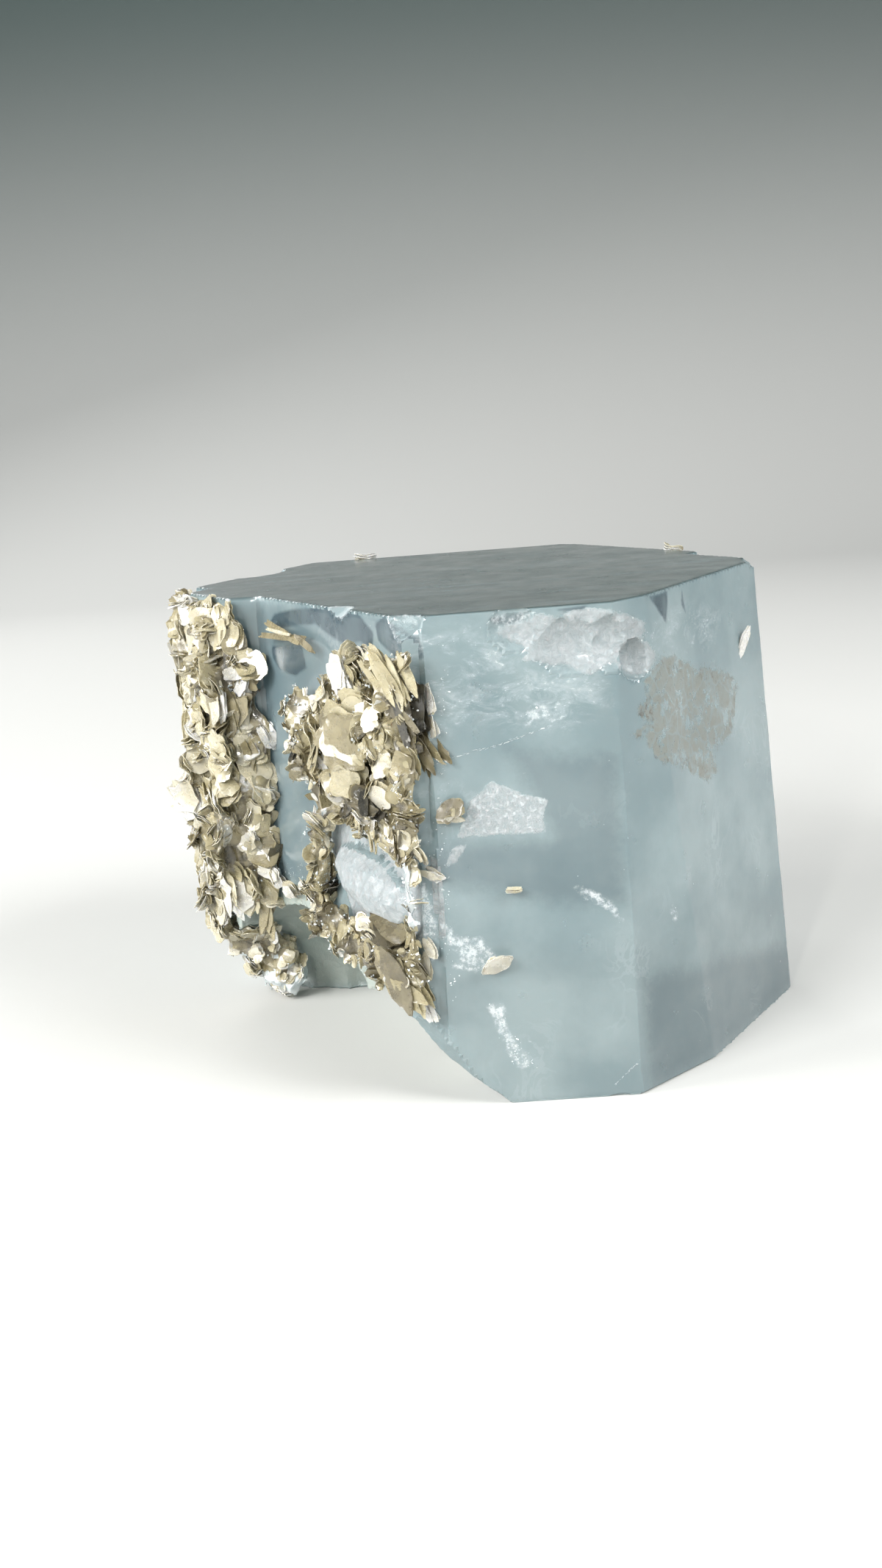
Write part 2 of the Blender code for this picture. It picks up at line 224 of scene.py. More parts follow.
beryl = {
    "cloudLow": "#86999D", "cloudHigh": "#A1B1B3",   # milky body, thin and thick places
    # clear: the colour of the top, a clearer end whose dark is a painted reflection
    "clear": "#35443F", "veil": "#E6EDEF",
    "depth": "#45565F",             # blue-grey painted shade for the shards along the top edge and for the darker zones
    # hollow: a paler colour over the downward-facing hollow, painted light over its shade
    "broken": "#93A5A8", "frost": "#E6ECEE", "hollow": "#BEC6BB",
    "film": "#868478", "filmPale": "#A09E92", "filmVein": "#57493A", "filmCell": 1.5,   # mm
    "ior": 1.577, "transmission": 0.42, "absorb": "#A9CCD6", "absorbDensity": 22.0,
    # ways a grain is drawn out: turn and scale
    "ways": {"drawn": ((0, -0.25, 0), (0.5, 0.5, 1)), "across": ((0, 0, 0.06), (0.05, 0.45, 1)),
             "shards": ((0.3, 0.2, 0), (0.35, 0.35, 0.2)), "slant": ((0, 0.7, 0), (3.2, 3.2, 2)),
             "upright": ((0, 0, 0), (1 / 0.9, 1 / 0.9, 1 / 30))},
    # grains: way, grains a mm, detail, roughness, distortion, W, and the range they are drawn to
    "grains": {
        "cloud": ("place", 1 / 9, 5, 0.5, 0, 0, (0.3, 0.7, 0, 1)),
        "wisp": ("place", 0.2, 6, 0.6, 1.4, 0, None),
        "wispPatch": ("place", 0.12, 2, 0.5, 0, 0, (0.52, 0.72, 0, 0.1)),
        "haze": ("drawn", 1 / 1.7, 8, 0.72, 0.6, 0, (0.42, 0.72, 0, 0.8)),
        "fleck": ("drawn", 1 / 0.38, 4, 0.8, 0, 3, (0.54, 0.64, 0, 1)),
        "speck": ("place", 2.2, 2, 0.5, 0, 7, (0.74, 0.8, 0, 0.35)),
        "streak": ("across", 1, 6, 0.65, 0.4, 0, (0.48, 0.7, 0, 0.5)),
        "ragged": ("place", 0.9, 6, 0.7, 0, 0, None),
        "shard": ("shards", 1, 3, 0.5, 0.3, 0, (0.4, 0.66, 1, 0.75)),
        "frostGrain": ("place", 1.25, 8, 0.75, 0.6, 0, (0.32, 0.68, 0, 1)),
        "scuff": ("place", 1.5, 6, 0.75, 0, 9, (0.44, 0.6, 0.08, 1)),
        "patchGrain": ("place", 2.4, 6, 0.8, 0, 0, (0.36, 0.6, 0.3, 1)),
        "holes": ("place", 0.48, 5, 0.7, 0, 21, (0.4, 0.5, 0, 1)),
        "thin": ("place", 0.8, 6, 0.7, 0, 41, None),
        "vein": ("slant", 0.9, 6, 0.8, 0, 17, (0.53, 0.62, 0, 1)),
        "filmGrain": ("place", 2, 5, 0.8, 0, 0, None),
        "gloss": ("place", 0.33, 4, 0.5, 0, 0, None),
        "stria": ("upright", 1, 3, 0.5, 0, 0, None),
        "hackle": ("place", 1 / 1.1, 8, 0.65, 0.5, 0, None),
    },
    # marks: how ragged the outline is, where it fades in, in mm from the outline, and how far
    "marks": {"depth": (0.25, -0.15, 0.3, 0.95), "strip": (2, -1.2, 1.6, 0.42), "frost": (1, -0.1, 0.35, 1),
              "bruise": (1.5, -0.25, 0.3, 1), "film": (2.4, 0, 0.35, 0.8), "granular": (0.8, 0, 0.35, 1),
              "hollow": (0, -1, 1.5, 0.75), "wisps": (0, -1.5, 2, 1)},
    # ranges with straight ends: what of, from and to
    "ranges": {"frostShade": ("frostGrain", 0, 1, 0.5, 1), "thin": ("thin", 0.3, 0.6, 0.55, 1),
               "gloss": ("gloss", 0.3, 0.7, 0.16, 0.28), "veinEdge": ("filmEdge", -0.5, 0.1, 0, 1)},
    # sums in their order: result, operation and terms
    "sums": (
        ("sides", "SUBTRACT", 1, "top"), ("clearTop", "MULTIPLY", "top", 0.8),
        ("streak", "MULTIPLY", "streak", "top"),
        ("wisp", "COMPARE", "wisp", 0.5, 0.03), ("wisp", "MULTIPLY", "wisp", "wispPatch"),
        ("fleck", "MULTIPLY", "fleck", "haze"), ("thread", "MULTIPLY_ADD", "haze", 0.5, "fleck"),
        ("thread", "MINIMUM", "thread", 1), ("thread", "MULTIPLY", "thread", "wisps"),
        ("veil", "MAXIMUM", "wisp", "thread"), ("veil", "MAXIMUM", "veil", "speck"),
        ("veil", "MULTIPLY", "veil", "sides"), ("depth", "MULTIPLY", "depth", "shard"),
        ("frosted", "MULTIPLY", "frost", "frostShade"), ("bruise", "MULTIPLY", "bruise", "scuff"),
        ("frosted", "MAXIMUM", "frosted", "bruise"), ("patch", "MULTIPLY", "granular", "patchGrain"),
        ("film", "MULTIPLY", "film", "thin"), ("gap", "MULTIPLY", "gap", "holes"),
        ("film", "MULTIPLY", "film", "gap"), ("nearRim", "COMPARE", "filmEdge", 0.6, 0.8),
        ("nearRim", "MULTIPLY_ADD", "nearRim", 0.55, 0.25), ("nearRim", "MULTIPLY", "nearRim", "veinEdge"),
        ("vein", "MULTIPLY", "vein", "nearRim"),
        ("pale", "MULTIPLY_ADD", "depth", -1, 1), ("pale", "MULTIPLY", "pale", "broken"),
        ("covered", "MAXIMUM", "film", "patch"), ("gloss", "MULTIPLY_ADD", "broken", 0.22, "gloss"),
        ("gloss", "MULTIPLY_ADD", "frost", 0.3, "gloss"), ("gloss", "MULTIPLY_ADD", "covered", 0.3, "gloss"),
        # faint growth lines up the natural faces, hackle on the breaks, grain on the marks
        ("lines", "MULTIPLY", "sides", 0.04), ("relief", "MULTIPLY", "stria", "lines"),
        ("part", "MULTIPLY", "broken", "hackle"), ("relief", "MULTIPLY_ADD", "part", 0.8, "relief"),
        ("part", "MULTIPLY", "frost", "frostGrain"), ("relief", "MULTIPLY_ADD", "part", 0.5, "relief"),
        ("part", "MULTIPLY", "film", "filmGrain"), ("relief", "MULTIPLY_ADD", "part", 0.15, "relief"),
        ("part", "MULTIPLY", "patch", "patchGrain"), ("relief", "MULTIPLY_ADD", "part", 0.2, "relief")),
}


def makeBerylMaterial():
    # milky beryl: natural faces are glassy over a cloudy body that glows softly, with thin veils and a clearer
    # polished end whose dark colour is a painted reflection, breaks are paler and satin, bruised places are white,
    # and a pale band beside the front left edge is painted light. Blue-grey painted shade lies on the shards along
    # the top edge and on darker zones, and paler painted light fills the hollow
    material, add, place = startMaterial("milkyAquamarine")
    soft = {"interpolation_type": "SMOOTHSTEP"}
    ends = ("From Min", "From Max", "To Min", "To Max")
    ways = {name: add("Mapping", {"Vector": place, "Rotation": turn, "Scale": scale})
            for name, (turn, scale) in beryl["ways"].items()}
    ways["place"] = place
    made = {name: add("Attribute", attribute_name=name).outputs["Fac"] for name in ("broken", "top", *beryl["marks"])}
    for name, (way, scale, detail, rough, bend, w, reach) in beryl["grains"].items():
        inputs = {"Vector": ways[way], "Scale": scale, "Detail": detail, "Roughness": rough, "Distortion": bend}
        made[name] = add("TexNoise", dict(inputs, W=w), noise_dimensions="4D") if w else add("TexNoise", inputs)
        if reach:
            made[name] = add("MapRange", {"Value": made[name], **dict(zip(ends, reach))}, **soft)
    ragged = add("Math", {0: made["ragged"], 1: 0.5}, operation="SUBTRACT")
    for name, (amount, low, high, most) in beryl["marks"].items():
        edge = add("Math", {0: ragged, 1: amount, 2: made[name]}, operation="MULTIPLY_ADD")
        made[name + "Edge"] = edge
        made[name] = add("MapRange", {"Value": edge, "From Min": low, "From Max": high, "To Max": most}, **soft)
    for name, (value, *reach) in beryl["ranges"].items():
        made[name] = add("MapRange", {"Value": made[value], **dict(zip(ends, reach))})

    # the tan film lies in cells
    cells = add("TexNoise", {"Vector": place, "Scale": 1.1, "Detail": 4.0}).outputs["Color"]
    cells = add("Mix", {"Factor": 0.4, "A": place, "B": cells}, data_type="VECTOR")
    cells = add("TexVoronoi", {"Vector": cells, "Scale": 1 / beryl["filmCell"]}, feature="DISTANCE_TO_EDGE")
    made["gap"] = add("MapRange", {"Value": cells, "From Min": 0.01, "From Max": 0.07, "To Min": 0.45}, **soft)

    for name, operation, *terms in beryl["sums"]:
        terms = {i: made.get(term, term) for i, term in enumerate(terms)}
        made[name] = add("Math", terms, operation=operation)

    # a break over a shard keeps its painted shade, so its pale mask leaves the depth out
    filmTone = add("Mix", {"Factor": made["filmGrain"], "A": beryl["film"], "B": beryl["filmPale"]}, data_type="RGBA")
    colour = add("Mix", {"Factor": made["cloud"], "A": beryl["cloudLow"], "B": beryl["cloudHigh"]}, data_type="RGBA")
    # painted light and shade among these: the top's dark is a painted reflection, the shade and depth masks paint
    # blue-grey shade, and hollow paints light over the hollow's shade
    for mask, over in (("clearTop", "clear"), ("streak", "cloudLow"), ("strip", "depth"), ("depth", "depth"),
                       ("veil", "veil"), ("pale", "broken"), ("hollow", "hollow"), ("film", "filmTone"),
                       ("vein", "filmVein"), ("patch", "frost"), ("frosted", "frost")):
        over = filmTone if over == "filmTone" else beryl[over]
        colour = add("Mix", {"Factor": made[mask], "A": colour, "B": over}, data_type="RGBA")

    bump = add("Bump", {"Height": made["relief"], "Strength": 1.0, "Distance": 0.00035})
    shader = add("BsdfPrincipled", {
        "Base Color": colour, "Roughness": made["gloss"], "Normal": bump, "IOR": beryl["ior"],
        "Transmission Weight": beryl["transmission"], "Subsurface Weight": 0.35,
        "Subsurface Radius": (0.004, 0.006, 0.0065), "Coat Weight": 0.2, "Coat Roughness": 0.1,
        "Coat IOR": beryl["ior"]})
    inside = add("VolumeAbsorption", {"Color": beryl["absorb"], "Density": beryl["absorbDensity"]})
    add("OutputMaterial", {"Surface": shader, "Volume": inside})
    return material


mica = {   # its tone runs from the brown edge of a book to near white, partly silver sheet and partly a painted highlight of a sheet's flash
    "stops": [(0.0, "#3C3A31"), (0.2, "#7A7158"), (0.4, "#AFA480"), (0.55, "#C6BC98"), (0.75, "#DED6BA"),
              (1.0, "#F5F4F0")],
    "leaf": 0.07,          # mm between the lines on a book's edge, coarser than real leaves
    "stain": 1.5,          # mm
    "ior": 1.59,
}


def makeMuscoviteMaterial():
    # muscovite, split along its cleavage: pearly champagne sheets, the palest near white as silver sheet and as a
    # painted highlight of their flash, brown where a book is thick, with fine lines along a book's edge
    material, add, place = startMaterial("champagneMuscovite")
    tone = add("Attribute", attribute_name="tone").outputs["Fac"]
    leaf = add("Attribute", attribute_name="leaf").outputs["Vector"]
    stain = add("TexNoise", {"Vector": place, "Scale": 1 / mica["stain"], "Detail": 6.0, "Roughness": 0.7})
    shift = add("MapRange", {"Value": stain, "From Min": 0.25, "From Max": 0.75, "To Min": -0.1, "To Max": 0.1})
    tone = add("Math", {0: tone, 1: shift}, operation="ADD", use_clamp=True)
    colour = add("ValToRGB", {"Fac": tone}, stops=mica["stops"])
    across = add("Mapping", {"Vector": leaf, "Scale": (0.6, 0.6, 1 / mica["leaf"])})
    lines = add("TexNoise", {"Vector": across, "Scale": 1.0, "Detail": 3.0, "Roughness": 0.8})
    shade = add("MapRange", {"Value": lines, "From Min": 0.35, "From Max": 0.65, "To Min": 0.8, "To Max": 1.0})
    colour = add("Mix", {"Factor": 1.0, "A": colour, "B": shade}, data_type="RGBA", blend_type="MULTIPLY")
    gloss = add("MapRange", {"Value": stain, "From Min": 0.3, "From Max": 0.7, "To Min": 0.15, "To Max": 0.42})
    bump = add("Bump", {"Height": lines, "Strength": 0.6, "Distance": 0.00006})
    shader = add("BsdfPrincipled", {
        "Base Color": colour, "Roughness": gloss, "Normal": bump, "IOR": mica["ior"],
        "Transmission Weight": 0.4, "Subsurface Weight": 0.4, "Subsurface Radius": (0.0010, 0.0009, 0.0007),
        "Coat Weight": 0.5, "Coat Roughness": 0.12, "Coat IOR": mica["ior"]})
    add("OutputMaterial", {"Surface": shader})
    return material


sugar = {"dull": "#AFBBBD", "bright": "#EDF1F1", "grain": 0.5, "ior": 1.53}


def makeSugarMaterial():
    # crushed beryl and albite: sugary white grains, each with its own small flash
    material, add, place = startMaterial("sugaryAlbite")
    tone = add("Attribute", attribute_name="tone").outputs["Fac"]
    grain = add("TexNoise", {"Vector": place, "Scale": 1 / sugar["grain"], "Detail": 5.0, "Roughness": 0.7})
    mixed = add("Mix", {"Factor": 0.5, "A": tone, "B": grain})
    colour = add("ValToRGB", {"Fac": mixed}, stops=[(0.25, sugar["dull"]), (0.7, sugar["bright"])])
    bump = add("Bump", {"Height": grain, "Strength": 0.5, "Distance": 0.0001})
    gloss = add("MapRange", {"Value": grain, "To Min": 0.12, "To Max": 0.35})
    shader = add("BsdfPrincipled", {
        "Base Color": colour, "Roughness": gloss, "Normal": bump, "IOR": sugar["ior"],
        "Transmission Weight": 0.2, "Coat Weight": 0.4, "Coat Roughness": 0.08})
    add("OutputMaterial", {"Surface": shader})
    return material


view = {
    "focal": 2400 / 2133 * 36, "azimuth": 1.68, "elevation": 12.37, "roll": 4.48,
    "distance": 196.4, "target": (-3.412, -0.352, 24.57),   # mm
}


def eyeTurn():
    return Matrix.Rotation(math.radians(view["azimuth"]), 4, "Z") @ Matrix.Rotation(
        math.radians(90 - view["elevation"]), 4, "X") @ Matrix.Rotation(math.radians(-view["roll"]), 4, "Z")


def eyePlace():
    return Vector(view["target"]) + eyeTurn().to_3x3() @ Vector((0, 0, view["distance"]))


def makeCamera():
    data = bpy.data.cameras.new("camera")
    data.lens, data.sensor_width, data.sensor_fit, data.clip_start = view["focal"], 36, "AUTO", 0.005
    camera = putObject("camera", data)
    camera.matrix_world = Matrix.Translation(eyePlace() * mm) @ eyeTurn()
    bpy.context.scene.camera = camera


lamps = {   # size m, power W, place m, colour
    "key": (0.27, 4.4, (-0.37, -0.41, 0.37), "#FFFFFF"),
    "fill": (0.34, 5.4, (0.47, -0.25, 0.42), "#FFFFFF"),
    "side": (0.30, 3.3, (-0.56, -0.12, 0.20), "#FFFFFF"),
    "back": (0.30, 1.5, (-0.22, 0.42, 0.36), "#FFFFFF"),
    "glint": (0.02, 0.5, (-0.10, -0.40, 0.20), "#FFFDF5"),
    "glintSide": (0.02, 0.3, (-0.42, -0.12, 0.18), "#FFFDF5"),
}
paper = {"width": 1.6, "colour": "#C2C2BF", "backdropShade": "#515E5C", "grain": 6.0, "air": "#C9D0D4", "airLight": 0.36}


def makeStudio():
    for name, (size, power, spot, colour) in lamps.items():
        data = bpy.data.lights.new(name, "AREA")
        data.size, data.energy, data.color = size, power, hexColour(colour)[:3]
        lamp = putObject(name, data)
        lamp.location = spot
        lamp.rotation_euler = (Vector(spot) - Vector((0, 0, 0.022))).to_track_quat("Z", "Y").to_euler()
    world = bpy.data.worlds.new("studioAir")
    world.use_nodes = True
    world.node_tree.nodes["Background"].inputs["Color"].default_value = hexColour(paper["air"])
    world.node_tree.nodes["Background"].inputs["Strength"].default_value = paper["airLight"]
    bpy.context.scene.world = world
    bpy.context.scene.view_settings.view_transform = "Standard"

    # a sheet of paper, swept up behind, painted darker as it rises as a painted shade
    pickOnly()
    bpy.ops.mesh.primitive_plane_add(size=paper["width"], location=(0, 0, 0))
    floor = bpy.context.object
    floor.name = "paperFloor"
    spots = floor.data.vertices
    pickParts(floor.data, "edges", lambda edge: all(spots[v].co.y > 0.1 for v in edge.vertices))
    with editMode():
        bpy.ops.mesh.select_mode(type="EDGE")
        bpy.ops.mesh.extrude_region_move(TRANSFORM_OT_translate={"value": (0, 0, 0.9)})
    spots = floor.data.vertices
    for edge in floor.data.edges:
        edge.select = all(spots[v].co.y > 0.1 and spots[v].co.z < 0.01 for v in edge.vertices)
    with editMode():
        bpy.ops.mesh.bevel(offset=0.35, segments=24)
        bpy.ops.mesh.select_all(action="SELECT")
        bpy.ops.mesh.normals_make_consistent(inside=False)
    bpy.ops.object.shade_smooth()

    material, add, place = startMaterial("sweptPaper")
    height = add("SeparateXYZ", {"Vector": place}).outputs["Z"]
    # painted shade: the paper's colour darkens from the floor up the sweep
    shadeRise = add("MapRange", {"Value": height, "From Min": 0.0, "From Max": 330.0}, interpolation_type="SMOOTHSTEP")
    grain = add("TexNoise", {"Vector": place, "Scale": 1 / paper["grain"], "Detail": 8.0, "Roughness": 0.7})
    colour = add("Mix", {"Factor": shadeRise, "A": paper["colour"], "B": paper["backdropShade"]}, data_type="RGBA")
    bump = add("Bump", {"Height": grain, "Strength": 0.1, "Distance": 0.0003})
    shader = add("BsdfPrincipled", {"Base Color": colour, "Roughness": 0.9, "Specular IOR Level": 0.1,
                                    "Normal": bump})
    add("OutputMaterial", {"Surface": shader})
    floor.data.materials.append(material)


makeCamera()
makeStudio()
print("camera, lights and floor are up")

# outlines on the beryl's sides, as (side, [(along, height), ...]) in mm
marks = {
    "film": [(0.875, [(-9.4, 41.4), (-7.1, 40.8), (-4.2, 39.8), (-1.8, 39.1), (2, 37.9), (6.1, 36.9), (8.7, 35.4),
            (7.6, 33.4), (5.7, 30.7), (4, 30.1), (1.5, 29.8), (0.5, 28.8), (1.4, 27.8), (-1.3, 27.1), (-6.1, 29.2),
            (-10.8, 31.1), (-12, 31.7), (-13.1, 33.6), (-15.6, 34.8), (-12.9, 35.4), (-14.6, 36.6), (-13.3, 37.3),
            (-12.1, 38.2), (-13.1, 39.2)])],
    "granular": [(0, [(-2.4, 26.3), (-1.3, 28.1), (-0.6, 29.9), (1.6, 31.6), (3, 30.9), (4.2, 30.2), (6.8, 29.4),
            (6.3, 28), (6.3, 26.1)]),
        (0, [(-3.6, 23.3), (-2.6, 25.6), (-1.1, 25.7), (-2, 24)])],
    "frost": [(0, [(6.1, 46.2), (6.9, 46.8), (7.9, 46.5), (8.8, 45.9), (9.4, 46.6), (11.5, 46.9), (14.1, 46.3),
            (16.7, 44.8), (16.9, 43.7), (16.4, 43.3), (17.5, 42.3), (17.8, 41.2), (17.1, 40.1), (15.5, 39.8),
            (14, 40.8), (13.6, 41.7), (12.6, 41.3), (11.3, 40.6), (10.2, 41.1), (9, 41.8), (7.8, 41.7), (6.6, 42.3),
            (5.2, 42.3), (4.8, 42.8), (5.8, 43.1), (5.1, 43.9), (3.5, 44.6), (2.8, 45.3), (4, 45.8)]),
        (5, [(5.8, 22.7), (7.6, 25.6), (13.4, 26.4), (19.5, 25.8), (25.2, 24.6), (29.6, 21.5), (30.4, 18),
            (27.4, 16.6), (21.6, 16.9), (15.2, 16.4), (10, 15.8), (7.8, 19.1)])],
    # hollow: painted light, a paler colour over the whole recess
    "hollow": [(5, [(-19, 16), (-8, 16.4), (0, 16), (8, 15.2), (14, 13.6), (19, 9), (24, 0), (-19, 0)])],
    "bruise": [(0, [(-0.5, 10), (0.3, 9.9), (0.9, 10.3), (1.2, 10), (1.1, 8.6), (1.7, 6.9), (2.4, 5.5), (3.4, 4.5),
            (3.2, 3.7), (2.3, 3.6), (1.6, 4.4), (0.9, 6.2), (0.3, 8)]),
        (0, [(8.6, 20.8), (10.2, 20.4), (11.9, 19.2), (13, 17.2), (11.8, 18.3), (10.3, 19.3)]),
        (0, [(5.2, 36.4), (5.5, 37.8), (6.5, 38.3), (7.5, 37.5), (7.3, 36.6), (6.4, 37.4)]),
        (0.875, [(-11.6, 16.6), (-11.1, 17.2), (-10.7, 16.1), (-11, 15.4)]),
        (0, [(-4, 18.2), (-2.6, 16.6), (-0.6, 16.6), (0.6, 14.9), (0.9, 13.8), (-1.2, 13.2), (-3.4, 14), (-2.6, 15),
            (-3.6, 16.2)]),
        (0, [(2.6, 46.6), (3.4, 45), (5.6, 45.6), (6.2, 46.7)]),
        (0, [(-7.4, 24), (-5.4, 22), (-4.7, 18.5), (-5, 15), (-6.2, 12), (-7.4, 14)]),
        # a pale band beside the front left edge: painted light where light shows through the edge
        (5, [(30, 45), (35, 45), (35, 10), (31, 12), (29.6, 22), (30.6, 34)])],
    # depth: shards along the top edge, their dark blue-grey a painted shade
    "depth": [(5, [(-6.4, 44.3), (-4.4, 45.7), (0, 46.4), (8.3, 47.3), (15, 47.3), (18.6, 45.4), (18.2, 43.9),
            (15.4, 44.2), (12, 43.6), (8.4, 44.4), (5.6, 45.2), (1, 44.7), (-5.4, 43.6)]),
        (5, [(18.8, 46.3), (20.9, 47.2), (24.9, 45.2), (25.4, 43.2), (23.4, 43), (21.4, 43.8), (19.4, 44.6)]),
        (5, [(-5.9, 42.1), (1.9, 43.1), (2.9, 40.5), (-0.2, 39.3), (-4, 39.6), (-5.8, 40.7)]),
        (0.875, [(-11, 47), (-6.6, 47), (-6.8, 45.8), (-7.6, 43.8), (-9.1, 45.3)]),
        (0.875, [(-3.2, 46.7), (-2.8, 44.1), (-3.8, 45.3)]),
        (0, [(2.2, 46.6), (5.9, 46.9), (5.4, 45.9), (4, 45.6), (2.6, 45.9)]),
        (0, [(8.5, 46.9), (11.5, 47.1), (11.1, 46.6), (9.2, 46.5)])],
    # painted shade: a clearer strip on the left side shown dark, and darker zones on the front and lower right
    "strip": [(5, [(-13, 47), (24, 47), (9, 41), (5, 36), (-1, 30), (3.7, 27.7), (4.5, 20), (0, 17), (-8, 16),
            (-9, 24), (-10, 34)]),
        (0, [(3, 34.5), (13.4, 33), (13.4, 19), (8, 19), (-5, 22), (-5, 26), (6.6, 26)]),
        (0.875, [(-16.5, 0), (16.5, 0), (16, 5), (-2.1, 9.3), (-16.5, 11.5)])],
    "wisps": [(0, [(-6.5, 46), (5, 45.5), (8, 42), (12, 41), (13, 38), (9, 36), (4, 36.3), (0, 37), (-6.5, 36)]),
        (0.875, [(-13, 44), (-2, 45), (6, 43), (2, 40), (-8, 41.5), (-13, 41.5)])],
}
berylShape = {
    "voxel": 0.42, "breakDepth": 0.55, "levelLeftOf": -12.0,   # mm
    "naturalWithin": 0.9985, "breakFade": 0.006,   # how closely a natural face keeps to its side, as a cosine
}


def insideBy(flat, outline):
    # mm from an outline, more than 0 inside it
    corners = np.array(outline, float)
    nearest = np.full(len(flat), 1e9)
    crossings = np.zeros(len(flat), int)
    for start, end in zip(corners, np.roll(corners, -1, axis=0)):
        run = end - start
        share = np.clip(((flat - start) @ run) / (run @ run), 0, 1)
        nearest = np.minimum(nearest, np.linalg.norm(flat - start - share[:, None] * run, axis=1))
        spans = (start[1] > flat[:, 1]) != (end[1] > flat[:, 1])
        with np.errstate(divide="ignore", invalid="ignore"):
            cross = start[0] + (flat[:, 1] - start[1]) * run[0] / run[1]
        crossings += spans & (flat[:, 0] < cross)
    return np.where(crossings % 2 == 1, nearest, -nearest)


def markValues(points, normals, name):
    best = np.full(len(points), -9.0)
    for side, outline in marks[name]:
        outward, sideways = (np.array(way) for way in sideWays(side))
        local = points - np.array(prism["axis"])
        flat = np.column_stack((local @ sideways, local[:, 2]))
        turned, near = (-2, 4) if name == "hollow" else (0.25 if side == 0 else 0.55, 12)
        facing = (normals @ outward > turned) & (local @ outward > near)
        best = np.maximum(best, np.where(facing, insideBy(flat, outline), -9.0))
    return best


def makeBerylBody():
    body = copyOfNode("aquamarine_crystal", "berylBody")
    sharp = copyOfNode("aquamarine_crystal", "sharpCopy")
    for piece in (body, sharp):   # the left column's end is brought level with the rest
        points, normals = readPoints(piece)
        level = (points[:, 0] < berylShape["levelLeftOf"]) & (np.abs(points[:, 2] - prism["leftTop"]) < 0.1)
        points[level, 2] = prism["top"]
        writePoints(piece, points)
    useModifier(body, "REMESH", mode="VOXEL", voxel_size=berylShape["voxel"] * mm)
    useModifier(body, "SHRINKWRAP", target=sharp, wrap_method="NEAREST_SURFACEPOINT")

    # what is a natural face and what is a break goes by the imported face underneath
    points, normals = readPoints(body)
    sharpTree = treeOf(sharp)
    under = np.array([sharpTree.find_nearest(point)[1][:] for point in points])
    natural = under[:, 2].copy()
    for side, slope in prism["faces"].items():
        natural = np.maximum(natural, under @ unit(np.array(sideWays(side)[0]) + (0, 0, slope)))
    flat = berylShape["naturalWithin"]
    broken = np.clip((flat - natural) / berylShape["breakFade"], 0, 1)
    top = ((under[:, 2] > flat) & (points[:, 2] > 40)) * 1.0
    bpy.data.objects.remove(sharp)
    frost = markValues(points, normals, "frost")

    # conchoidal ripples on the breaks and a rougher skin where a natural face is frosted
    cut = 0.5 * np.abs(lumps(points, 4.0, 1.0)) + 0.3 * np.abs(lumps(points, 1.5, 5.0)) \
        + 0.15 * np.abs(lumps(points, 0.7, 9.0))
    cut *= berylShape["breakDepth"] * broken
    skin = 0.25 * np.abs(lumps(points, 1.5, 5.0)) + 0.2 * np.abs(lumps(points, 0.7, 9.0))
    cut += np.clip(frost, 0, 1) * skin * (broken < 0.5)
    cut[points[:, 2] < 0.25] = 0
    writePoints(body, points - normals * cut[:, None])

    addAttribute(body, "broken", broken)
    addAttribute(body, "top", top)
    for name in marks:
        addAttribute(body, name, frost if name == "frost" else markValues(points, normals, name))
    smoothBelow(body, 28)
    body.data.materials.append(makeBerylMaterial())
    finishPiece(body, "beryl", "aquamarine_crystal")
    print("beryl body:", len(body.data.polygons), "faces")
    return body


berylBody = makeBerylBody()
surfaces = [treeOf(berylBody)]   # what grains and flakes are dropped onto


def surfaceAt(side, along, height):
    # the first surface over a point of a side, in mm, with its normal. The left side's crusts stand well
    # out of it, so there it is the first one in line with the eye
    start, way = onSide(side, along, height, 60), -sideWays(side)[0]
    if side == 5:
        reach = prism["leftReach"] * (1 + prism["taper"] * (1 - height / prism["top"]))
        start, way = eyePlace(), (onSide(side, along, height, reach) - eyePlace()).normalized()
    hits = [tree.ray_cast(start, way) for tree in surfaces]
    hits = [hit for hit in hits if hit[0] is not None]
    if not hits:
        return None
    place, normal, face, gap = min(hits, key=lambda hit: hit[3])
    return place, normal


# small shapes, one unit across, that are copied many times
def takeShape():
    piece = bpy.context.object
    points, normals = readPoints(piece)
    faces = [tuple(p.vertices) for p in piece.data.polygons]
    bpy.data.objects.remove(piece)
    return points * mm, faces


def makeBook(corners, thickness, steps, seed):
    # a book of leaves with smaller steps of leaves on it
    pickOnly()
    bpy.ops.mesh.primitive_cylinder_add(vertices=corners, radius=0.5, depth=thickness)
    with editMode():
        bpy.ops.mesh.select_all(action="SELECT")
        bpy.ops.mesh.bisect(plane_co=(0.3, 0, 0), plane_no=(1, 0.2 * (seed % 3), 0), use_fill=True, clear_outer=True)
    for step in range(steps):
        book = bpy.context.object.data
        highest = max(face.center.z for face in book.polygons)
        pickParts(book, "polygons", lambda face: face.normal.z > 0.9 and face.center.z > highest - 1e-6)
        with editMode():
            bpy.ops.mesh.select_mode(type="FACE")
            bpy.ops.mesh.inset(thickness=0.1)
            bpy.ops.mesh.extrude_region_move(TRANSFORM_OT_translate={"value": (0.04, 0.03, thickness * 0.5)})
    with editMode():
        bpy.ops.mesh.select_all(action="SELECT")
        bpy.ops.transform.vertex_random(offset=0.045, seed=seed)
    return takeShape()


